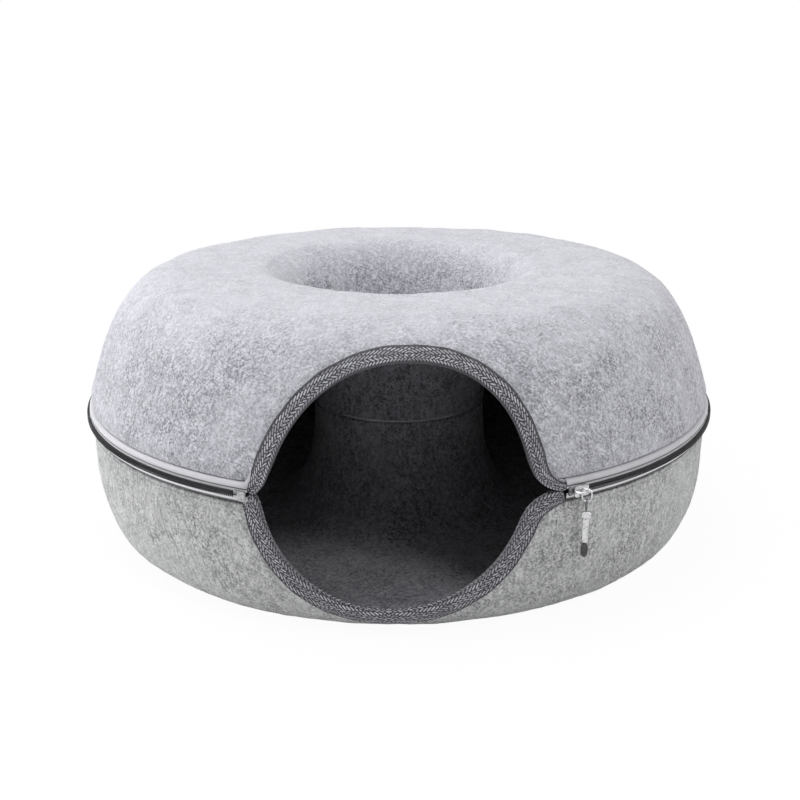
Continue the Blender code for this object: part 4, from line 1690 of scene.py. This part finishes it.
@dataclass
class FoldedEnd:
    """A folded end of cloth beside a tip of the binding, swept over a few stations.

    Each station gives the arc, the height from the zip, the width and the push off the felt.
    """

    name: str
    half: Half
    body: Body
    slot: Slot
    stations: Sequence[tuple[float, float, float, float]]
    thickness: float = 0.0008
    power: float = 3.2
    steps: int = 30
    sides: int = 20
    passes: int = 3

    def build(self, material: bpy.types.Material) -> bpy.types.Object:
        """Builds the folded end.

        Args:
            material: Its material.

        Returns:
            The piece.
        """
        places = np.array(self.stations)
        walked = walked_along(places[:, :2])
        even = np.linspace(0, walked[-1], self.steps)
        rows = read_at(even, walked, places)
        for _ in range(self.passes):
            rows[1:-1] = (rows[:-2] + 2 * rows[1:-1] + rows[2:]) / 4
        run = directions(rows[:, :2])
        away = np.stack([-run[:, 1], run[:, 0]], -1)
        ring = superellipse(0.5, 0.5, self.power, self.sides)
        side = rows[:, None, 2] * ring[None, :, 0]
        place = rows[:, None, :2] + away[:, None] * side[..., None]
        push = rows[:, None, 3] + self.thickness * ring[None, :, 1]
        points = SHAPE.skin_points(self.half, place[..., 0], place[..., 1], push)
        uv = np.stack(np.broadcast_arrays(even[:, None], side), -1)
        piece = add_object(self.name, grid_mesh(self.name, points, uv=uv), material)
        return dress(piece, self.body, self.slot)


@dataclass
class EndTab:
    """The tab of cloth that is folded over the left end of the outer zip's teeth."""

    front: Sequence[Point2] = (
        (0.0031, -0.0026),
        (0.0034, -0.0016),
        (0.0034, 0.0028),
        (0.0029, 0.0038),
        (0.0016, 0.0044),
        (0.0008, 0.0048),
    )
    ends: Span = (-0.1044, -0.0987)
    thickness: float = 0.0006
    bulge: float = 0.0004
    taper: float = 0.12
    steps: int = 18
    section_steps: int = 24

    def build(self, material: bpy.types.Material) -> bpy.types.Object:
        """Builds the tab.

        Args:
            material: Its material.

        Returns:
            The piece.
        """
        section, _ = slab_section(np.array(self.front), self.thickness, self.section_steps)
        azimuth = OUTER.azimuth(np.linspace(*self.ends, self.steps))
        share = np.linspace(-1, 1, self.steps)
        off = section[None, :, 0] - self.bulge * share[:, None] ** 4
        height = -section[None, :, 1] * (1 - self.taper * share[:, None] ** 4)
        points = OUTER.on_ring(np.broadcast_to(azimuth[:, None], off.shape), off, height)
        piece = add_object("outer_zip_end_tab", grid_mesh("outer_zip_end_tab", points), material)
        return dress(piece, Body.LOWER, Slot.FELT)


# Metal


def placed(grid: np.ndarray, matrix: Matrix) -> np.ndarray:
    """Moves a grid of points by a matrix.

    Args:
        grid: The points.
        matrix: Where their own frame stands.

    Returns:
        The moved points.
    """
    array = np.array(matrix)
    return grid @ array[:3, :3].T + array[:3, 3]


def loft(section: np.ndarray, stations: Sequence[Point3]) -> np.ndarray:
    """Points of a form whose section changes along its length.

    Args:
        section: Points of the section at full size, across and through.
        stations: Place along the length with the scale across and through there.

    Returns:
        A grid of points, one row for each station.
    """
    rows = []
    for along, across, through in stations:
        rows.append([(x * across, along, z * through) for x, z in section])
    return np.array(rows)


@dataclass
class PolishedNodes:
    """Small metal pieces of the frame that keep their shape and get softened edges and plating."""

    nodes: Sequence[str]
    softness: float = 0.00022
    weld: float = 0.000005
    segments: int = 3
    sharp_angle: float = 28.0

    def build(self, material: bpy.types.Material) -> None:
        """Softens the nodes and gives them their material.

        Args:
            material: The plating.
        """
        for name in self.nodes:
            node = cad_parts[name]
            weld = node.modifiers.new("Weld", "WELD")
            weld.merge_threshold = self.weld
            bevel = node.modifiers.new("Soft edges", "BEVEL")
            bevel.width = self.softness
            bevel.segments = self.segments
            bevel.limit_method = "ANGLE"
            bevel.angle_limit = math.radians(self.sharp_angle)
            bevel.harden_normals = False
            node.modifiers.new("Even shading", "WEIGHTED_NORMAL")
            node.data.materials.clear()
            node.data.materials.append(material)
            LOG.info("%s keeps its shape", name)


@dataclass
class OuterPull:
    """The D-shaped loop on the slider's crown, and the link, collar, bar and grip on it.

    Attributes:
        arc, slip, crown: Place of the crown's eye along the zip and off the tape.
        yaw: How far the pull is turned about the upright.
        top, drop: How far the loop reaches above and below the eye.
        collar, bar, grip: Width, length and thickness of each piece.
        collar_top, collar_ridge, collar_foot, bar_top, bar_foot: Share of the piece's length, with
            the scale across and through there. A ridge's shares count from its middle.
        bar_run: Share of the bar where its even part starts, and that part's share of the length.
        bar_taper: Its scale across at the top, and what it loses over its length.
        fluted: Shares of the bar between which it has flutes.
        flute_depth, flute_share: Depth of a flute through the bar, and the part of it across.
        grip_through: Least scale through the grip, and what its full width adds.
    """

    arc: float = 0.119145
    slip: float = 0.0020
    yaw: float = 52.0
    crown: float = 0.0068
    wire: float = 0.00063
    half_width: float = 0.00305
    top: float = 0.0018
    drop: float = 0.0063
    link_wire: float = 0.0006
    link_half_width: float = 0.0017
    link_length: float = 0.0078
    link_turn: float = 78.0
    link_pinch: float = 0.3
    link_power: float = 2.4
    loop_power: float = 2.6
    waist_share: float = 0.4
    ring_steps: int = 56
    ring_sides: int = 12
    gap: float = 0.0003
    collar: Point3 = (0.0067, 0.0050, 0.0034)
    bar: Point3 = (0.0046, 0.0165, 0.0022)
    grip: Point3 = (0.0047, 0.0102, 0.0020)
    section_power: float = 3.2
    section_steps: int = 28
    collar_top: Sequence[Point3] = ((0, 0.45, 0.6), (0.04, 0.66, 0.8), (0.12, 0.74, 0.9), (0.2, 0.78, 0.9))
    collar_ridges: Span = (0.36, 0.72)
    collar_ridge: Sequence[Point3] = (
        (-0.12, 0.86, 0.92),
        (-0.07, 0.97, 1.0),
        (0, 1.0, 1.0),
        (0.07, 0.97, 1.0),
        (0.12, 0.86, 0.92),
    )
    collar_foot: Sequence[Point3] = ((0.9, 0.74, 0.86), (0.97, 0.66, 0.8), (1.0, 0.55, 0.7))
    bar_top: Sequence[Point3] = ((0.0, 0.72, 0.8), (0.012, 0.86, 0.94), (0.03, 0.94, 1.0))
    bar_run: Span = (0.06, 0.88)
    bar_taper: Span = (0.98, 0.14)
    bar_foot: Sequence[Point3] = ((0.97, 0.80, 0.98), (0.99, 0.74, 0.92), (1.0, 0.62, 0.8))
    fluted: Span = (0.45, 0.85)
    flute_depth: float = 0.05
    flute_share: float = 0.4
    flute_steps: int = 40
    grip_power: float = 3.4
    grip_tip: float = 0.02
    grip_through: Span = (0.55, 0.45)
    grip_steps: int = 32

    def pivot(self) -> Matrix:
        """The loop's place on the crown, with X along its bar and Z off the felt."""
        facing = Matrix.Rotation(math.radians(self.yaw) - math.pi / 2, 4, "Y")
        return OUTER.frame(self.arc) @ Matrix.Translation((self.slip, 0, self.crown)) @ facing

    def ring(
        self, half_width: float, top: float, bottom: float, power: float, wire: float, pinch: float
    ) -> np.ndarray:
        """A closed ring of wire in the XY plane.

        Args:
            half_width: Half of its width.
            top: Its highest point.
            bottom: Its lowest point.
            power: Power of its outline.
            wire: Radius of the wire.
            pinch: Share by which its waist is drawn in.

        Returns:
            A grid of points.
        """
        middle, half_height = (top + bottom) / 2, (top - bottom) / 2
        flat = superellipse(half_width, half_height, power, self.ring_steps)
        waist = 1 - pinch * np.exp(-((flat[:, 1] / (half_height * self.waist_share)) ** 2))
        path = np.stack([flat[:, 0] * waist, flat[:, 1] + middle, 0 * flat[:, 0]], -1)
        return tube(path, wire, self.ring_sides)

    def build(self, metal: bpy.types.Material, dull: bpy.types.Material, grip: bpy.types.Material) -> None:
        """Builds the pull's pieces.

        Args:
            metal: The plating.
            dull: The link's duller metal.
            grip: The dark grip's material.
        """
        crown = self.pivot()
        ring = self.ring(self.half_width, self.top, -self.drop, self.loop_power, self.wire, 0)
        mesh = grid_mesh("pull_loop", placed(ring, crown), closed=True)
        dress(add_object("pull_loop_wire", mesh, metal), Body.OUTER_LOOP, Slot.METAL, "outer_pull_loop")
        pivot = crown @ Matrix.Translation((0, -self.drop, 0))
        link_top = self.wire + self.gap + self.link_wire
        link_end = link_top - self.link_length
        edge_on = pivot @ Matrix.Rotation(math.radians(-self.link_turn), 4, "Y")
        ring = self.ring(
            self.link_half_width, link_top, link_end, self.link_power, self.link_wire, self.link_pinch
        )
        mesh = grid_mesh("pull_link", placed(ring, edge_on), closed=True)
        dress(add_object("pull_link_wire", mesh, dull), Body.OUTER_PULL, Slot.METAL, "outer_pull_link")
        top = link_end - self.link_wire - self.gap
        top = self.hang(pivot, top, "collar", self.collar, self.collar_stations(), metal)
        top = self.hang(pivot, top, "bar", self.bar, self.bar_stations(), metal)
        self.hang(pivot, top, "grip", self.grip, self.grip_stations(), grip)

    def hang(
        self,
        pivot: Matrix,
        top: float,
        name: str,
        size: Point3,
        stations: Sequence[Point3],
        material: bpy.types.Material,
    ) -> float:
        """Adds one lofted piece under the last.

        Args:
            pivot: Where the pull hangs.
            top: Height of the piece's top in the pull's frame.
            name: The piece's name.
            size: Its width, length and thickness.
            stations: Share of its length with the scale across and through.
            material: Its material.

        Returns:
            Height of the next piece's top.
        """
        width, length, thickness = size
        section = superellipse(width / 2, thickness / 2, self.section_power, self.section_steps)
        places = [(top - share * length, across, through) for share, across, through in stations]
        mesh = grid_mesh(name, placed(loft(section, places), pivot))
        slot = Slot.GRIP if name == "grip" else Slot.METAL
        piece = add_object(f"pull_{name}_shaped", mesh, material)
        dress(piece, Body.OUTER_PULL, slot, f"outer_pull_{name}")
        return top - length - self.gap

    def collar_stations(self) -> list[Point3]:
        """Two ridges with a groove between them.

        Returns:
            The share of the length, with the scale across and through there.
        """
        stations = list(self.collar_top)
        for middle in self.collar_ridges:
            stations += [(middle + share, across, through) for share, across, through in self.collar_ridge]
        return stations + list(self.collar_foot)

    def bar_stations(self) -> list[Point3]:
        """A bar that narrows a little towards the grip, with a row of shallow flutes.

        Returns:
            The share of the length, with the scale across and through there.
        """
        stations = list(self.bar_top)
        start, length = self.bar_run
        full, loss = self.bar_taper
        for step in range(self.flute_steps):
            share = start + length * step / (self.flute_steps - 1)
            wave = 0.5 + 0.5 * math.cos(math.pi * step / 2)
            flute = self.flute_depth * wave if self.fluted[0] < share < self.fluted[1] else 0
            stations.append((share, full - loss * share - flute * self.flute_share, 1.0 - flute))
        return stations + list(self.bar_foot)

    def grip_stations(self) -> list[Point3]:
        """An oval end, thinner at its tips.

        Returns:
            The share of the length, with the scale across and through there.
        """
        stations = []
        least, gain = self.grip_through
        for step in range(self.grip_steps + 1):
            share = step / self.grip_steps
            across = max(1 - abs(2 * share - 1) ** self.grip_power, self.grip_tip) ** 0.5
            stations.append((share, across, least + gain * across))
        return stations


# Stage


@dataclass(frozen=True)
class Studio:
    """Pale floor, soft lamps and the photograph's viewpoint.

    Attributes:
        target, aim, aim_across: Height that the camera turns about, and where it looks.
        fill: Strength of the world's light.
        glow_near, fade_from, fade_to: Share of white that the camera sees in the floor near the
            tunnel, and the distances over which it turns fully white.
        lamps: Place, size and watts of each lamp.
    """

    floor_size: float = 12.0
    floor_colour: Colour = (0.87, 0.87, 0.875)
    floor_cloud: Colour = (0.80, 0.80, 0.81)
    cloud_share: float = 0.03
    floor_drop: float = 0.0003
    distance: float = 0.94
    elevation: float = 17.3
    target: float = 0.1
    aim: float = 0.0874
    aim_across: float = 0.0009
    lens: float = 51.04
    sensor: float = 36
    near_clip: float = 0.01
    roll: float = -0.16
    fill: float = 0.24
    white: float = 1.0
    lamp_colour: Colour = (0.985, 0.99, 1)
    glow_near: float = 0.955
    fade_from: float = 0.32
    fade_to: float = 1.1
    lamps: dict[str, tuple[Point3, float, float]] = field(
        default_factory=lambda: {
            "key_lamp": ((-0.7, -0.3, 2.3), 1.3, 16.0),
            "near_key_lamp": ((-1.5, -0.5, 1.7), 1.3, 4.0),
            "top_lamp": ((-0.2, 0.3, 2.3), 1.5, 22.5),
            "left_lamp": ((-1.9, 0.45, 0.42), 1.3, 33.0),
            "right_lamp": ((1.9, 0.3, 0.50), 1.3, 9.5),
            "front_lamp": ((0.75, -1.35, 2.0), 0.6, 13.5),
        }
    )

    def camera(self) -> None:
        """Places the camera."""
        data = bpy.data.cameras.new("photo_camera")
        data.lens = self.lens
        data.sensor_width = self.sensor
        data.clip_start = self.near_clip
        camera = bpy.data.objects.new("photo_camera", data)
        bpy.context.scene.collection.objects.link(camera)
        rise = math.radians(self.elevation)
        back = SHAPE.axis_y - self.distance * math.cos(rise)
        place = Vector((0, back, self.target + self.distance * math.sin(rise)))
        aim = Vector((self.aim_across, SHAPE.axis_y, self.aim))
        turn = (aim - place).to_track_quat("-Z", "Y") @ Quaternion((0, 0, 1), math.radians(self.roll))
        camera.location = place
        camera.rotation_mode = "QUATERNION"
        camera.rotation_quaternion = turn
        bpy.context.scene.camera = camera

    def lamp(self, name: str, place: Point3, size: float, watts: float) -> None:
        """Adds a square lamp that looks at the tunnel.

        Args:
            name: Its name.
            place: Where it stands.
            size: Length of its side.
            watts: Its power.
        """
        data = bpy.data.lights.new(name, "AREA")
        data.shape = "SQUARE"
        data.size = size
        data.energy = watts
        data.color = self.lamp_colour
        lamp = bpy.data.objects.new(name, data)
        bpy.context.scene.collection.objects.link(lamp)
        lamp.location = place
        lamp.rotation_mode = "QUATERNION"
        aim = Vector((0, 0, self.target)) - Vector(place)
        lamp.rotation_quaternion = aim.to_track_quat("-Z", "Y")

    def floor(self) -> None:
        """Adds the floor, white to the camera and with the tunnel's soft shadow."""
        mesh = bpy.data.meshes.new("floor")
        half = self.floor_size / 2
        corners = ((-half, -half), (half, -half), (half, half), (-half, half))
        mesh.from_pydata([(x, y, 0) for x, y in corners], [], [(0, 1, 2, 3)])
        shader = Shader("pale_floor")
        grain = shader.noise(3, 2, 0.5)
        tone = shader.mix(shader.times(grain, self.cloud_share), self.floor_colour, self.floor_cloud)
        shader.set(Base_Color=tone, Roughness=0.9, Specular_IOR_Level=0.1)
        glow = shader.add("ShaderNodeEmission")
        shader.feed(glow, "Strength", self.white)
        path = shader.add("ShaderNodeLightPath")
        seen = shader.math("MAXIMUM", path.outputs["Is Camera Ray"], path.outputs["Is Glossy Ray"])
        seen = shader.math("MAXIMUM", seen, path.outputs["Is Transmission Ray"])
        away = shader.add("ShaderNodeVectorMath", operation="LENGTH")
        shader.feed(away, 0, shader.place)
        fade = shader.ramp(away.outputs["Value"], self.fade_from, self.fade_to)
        share = shader.times_add(fade, 1 - self.glow_near, self.glow_near)
        blend = shader.add("ShaderNodeMixShader")
        shader.feed(blend, 0, shader.times(seen, share))
        shader.feed(blend, 1, shader.surface.outputs[0])
        shader.feed(blend, 2, glow.outputs[0])
        output = shader.tree.nodes["Material Output"]
        shader.tree.links.new(blend.outputs[0], output.inputs["Surface"])
        floor = add_object("floor", mesh, shader.material)
        floor.location = (0, 0, -self.floor_drop)

    def world(self) -> None:
        """Sets the world, white where it is seen and a soft fill elsewhere."""
        world = bpy.data.worlds.new("studio")
        bpy.context.scene.world = world
        world.use_nodes = True
        tree = world.node_tree
        back = tree.nodes["Background"]
        back.inputs["Color"].default_value = (1, 1, 1, 1)
        path = tree.nodes.new("ShaderNodeLightPath")
        seen = tree.nodes.new("ShaderNodeMath")
        seen.operation = "MAXIMUM"
        tree.links.new(path.outputs["Is Camera Ray"], seen.inputs[0])
        tree.links.new(path.outputs["Is Glossy Ray"], seen.inputs[1])
        strength = tree.nodes.new("ShaderNodeMapRange")
        strength.inputs["To Min"].default_value = self.fill
        strength.inputs["To Max"].default_value = self.white
        tree.links.new(seen.outputs[0], strength.inputs["Value"])
        tree.links.new(strength.outputs[0], back.inputs["Strength"])

    def build(self) -> None:
        """Builds the stage."""
        self.camera()
        self.floor()
        self.world()
        for name, (place, size, watts) in self.lamps.items():
            self.lamp(name, place, size, watts)
        bpy.context.scene.view_settings.view_transform = "Standard"


# Sections of the tapes, as distance off the tape's face and height from the zip's plane
UPPER_BAND: tuple[Point2, ...] = (
    (0.0, 0.0017),
    (0.0, 0.0025),
    (0.00034, 0.0028),
    (0.00038, 0.0031),
    (0.00002, 0.0035),
    (0.00008, 0.0042),
    (-0.00008, 0.0052),
    (-0.00060, 0.0062),
    (-0.00142, 0.0069),
    (-0.0026, 0.0074),
    (-0.0050, 0.0076),
    (-0.0066, 0.0080),
    (-0.0066, 0.0170),
)
LOWER_BAND: tuple[Point2, ...] = (
    (0.0, 0.0017),
    (0.0, 0.0025),
    (0.00034, 0.0028),
    (0.00038, 0.0031),
    (0.00002, 0.0035),
    (-0.00010, 0.0042),
    (-0.00060, 0.0054),
    (-0.0020, 0.0066),
    (-0.0045, 0.0076),
    (-0.0066, 0.0082),
    (-0.0066, 0.0162),
)
HOLE_BAND: tuple[Point2, ...] = (
    (0.0, 0.0017),
    (0.0, 0.0047),
    (-0.0012, 0.0058),
    (-0.0019, 0.0067),
    (-0.0019, 0.0147),
)
OUTER_SHADES: dict[str, dict[str, Colour]] = {
    "upper": {},
    "lower": {
        "pale": (0.67, 0.672, 0.67),
        "middle": (0.50, 0.502, 0.501),
        "shade": (0.19, 0.192, 0.192),
        "fleck": (0.10, 0.10, 0.102),
        "lint": (0.86, 0.86, 0.86),
        "cloud": (0.42, 0.422, 0.42),
    },
}
TAPE_EDGE_STATIONS = (
    (-0.1010, 0.0064, 0.0034, 0.0026),
    (-0.0995, 0.0078, 0.0030, 0.0020),
    (-0.0981, 0.0100, 0.0020, 0.0012),
    (-0.0970, 0.0130, 0.0013, 0.0008),
    (-0.0961, 0.0165, 0.0010, 0.0005),
    (-0.0953, 0.0200, 0.0006, 0.0002),
)
FELT_CORNER_STATIONS = (
    (0.0960, 0.0100, 0.0030, -0.0005),
    (0.1010, 0.0080, 0.0038, -0.0005),
    (0.1060, 0.0066, 0.0040, -0.0004),
    (0.1100, 0.0056, 0.0032, -0.0002),
    (0.1114, 0.0050, 0.0022, -0.0002),
)
# Painted shade: the lining is a darker copy of the felt, for the shade inside the tunnel.
PAINTED_SHADE_LINING_COLOURS: dict[str, Colour] = {
    "pale": (0.37, 0.360, 0.400),
    "middle": (0.235, 0.230, 0.256),
    "shade": (0.085, 0.083, 0.095),
    "fleck": (0.04, 0.039, 0.045),
    "lint": (0.56, 0.545, 0.60),
    "cloud": (0.11, 0.107, 0.122),
}
SLIDER_NODES = (
    "outer_slider",
    "inner_slider",
    "inner_pull_loop",
    "inner_pull_tab",
)
ZIP_END_NODES = (
    "outer_zip_upper_stop",
    "outer_zip_lower_stop",
    "outer_zip_box",
    "outer_zip_pin",
    "inner_zip_upper_stop",
    "inner_zip_lower_stop",
    "inner_zip_box",
    "inner_zip_pin",
)


def main() -> None:
    """Builds every piece of the tunnel and the stage, in order."""
    logging.basicConfig(level=logging.INFO, format="%(name)s: %(message)s")
    Studio().build()
    felts = {}
    for half in (LOWER, UPPER):
        felts[half.name] = MelangeFelt(f"{half.name}_outer_felt", **OUTER_SHADES[half.name]).build()
        lining = MelangeFelt(f"{half.name}_inner_felt_painted_shade", **PAINTED_SHADE_LINING_COLOURS).build()
        FeltHalf(half).build(felts[half.name], lining)
    webbing = HerringboneWebbing().build()
    ArchBinding(
        LOWER,
        tip_shares=(0.80, 0.78),
        tip_fall=0.007,
        rows=(0.0010, 0.0052, 0.0094, 0.0130, 0.0166),
        slants=(27.0, -25.0, 30.0, -27.0),
    ).build(webbing)
    ArchBinding(UPPER).build(webbing)
    tape = WovenTape("zip_tape_weave").build()
    level = SHAPE.zip_height
    # The outer zip's tapes carry a painted highlight beside the teeth and painted shade beyond it.
    lower_tape_painted_light = WovenTape("lower_zip_tape_painted_light", zip_height=level, highlight_to=0.0046, shade_to=0.0090)
    upper_tape_painted_light = WovenTape("upper_zip_tape_painted_light", zip_height=level)
    nylon = MouldedNylon("zip_teeth_nylon", body=(0.012, 0.012, 0.014), bloom=(0.034, 0.034, 0.038)).build()
    for half, band, painted_light_tape in ((LOWER, LOWER_BAND, lower_tape_painted_light), (UPPER, UPPER_BAND, upper_tape_painted_light)):
        ZipTape(OUTER, half, band).build(painted_light_tape.build())
        ZipTape(HOLE, half, HOLE_BAND).build(tape)
        ZipTeeth(OUTER, half).build(nylon)
        ZipTeeth(HOLE, half).build(nylon)
    FoldedEnd("tape_edge_fold", UPPER, Body.UPPER, Slot.TAPE, TAPE_EDGE_STATIONS).build(tape)
    corner = FoldedEnd("felt_corner_fold", UPPER, Body.UPPER, Slot.FELT, FELT_CORNER_STATIONS)
    corner.build(felts[UPPER.name])
    EndTab().build(felts[LOWER.name])
    thread = SewingThread("seam_thread", colour=(0.34, 0.34, 0.355), groove=(0.16, 0.16, 0.17)).build()
    SeamStitches(LOWER, OUTER).build(thread)
    plating = PlatedMetal("nickel_plating").build()
    PolishedNodes(SLIDER_NODES).build(plating)
    dull = PlatedMetal(
        "dull_zip_metal", bright=(0.22, 0.22, 0.23), dull=(0.10, 0.10, 0.105), roughness=0.45
    ).build()
    PolishedNodes(ZIP_END_NODES).build(dull)
    grip = MouldedNylon(
        "grip_enamel", body=(0.035, 0.035, 0.038), bloom=(0.075, 0.075, 0.080), roughness=0.30
    ).build()
    OuterPull().build(plating, dull, grip)


if __name__ == "__main__":
    main()
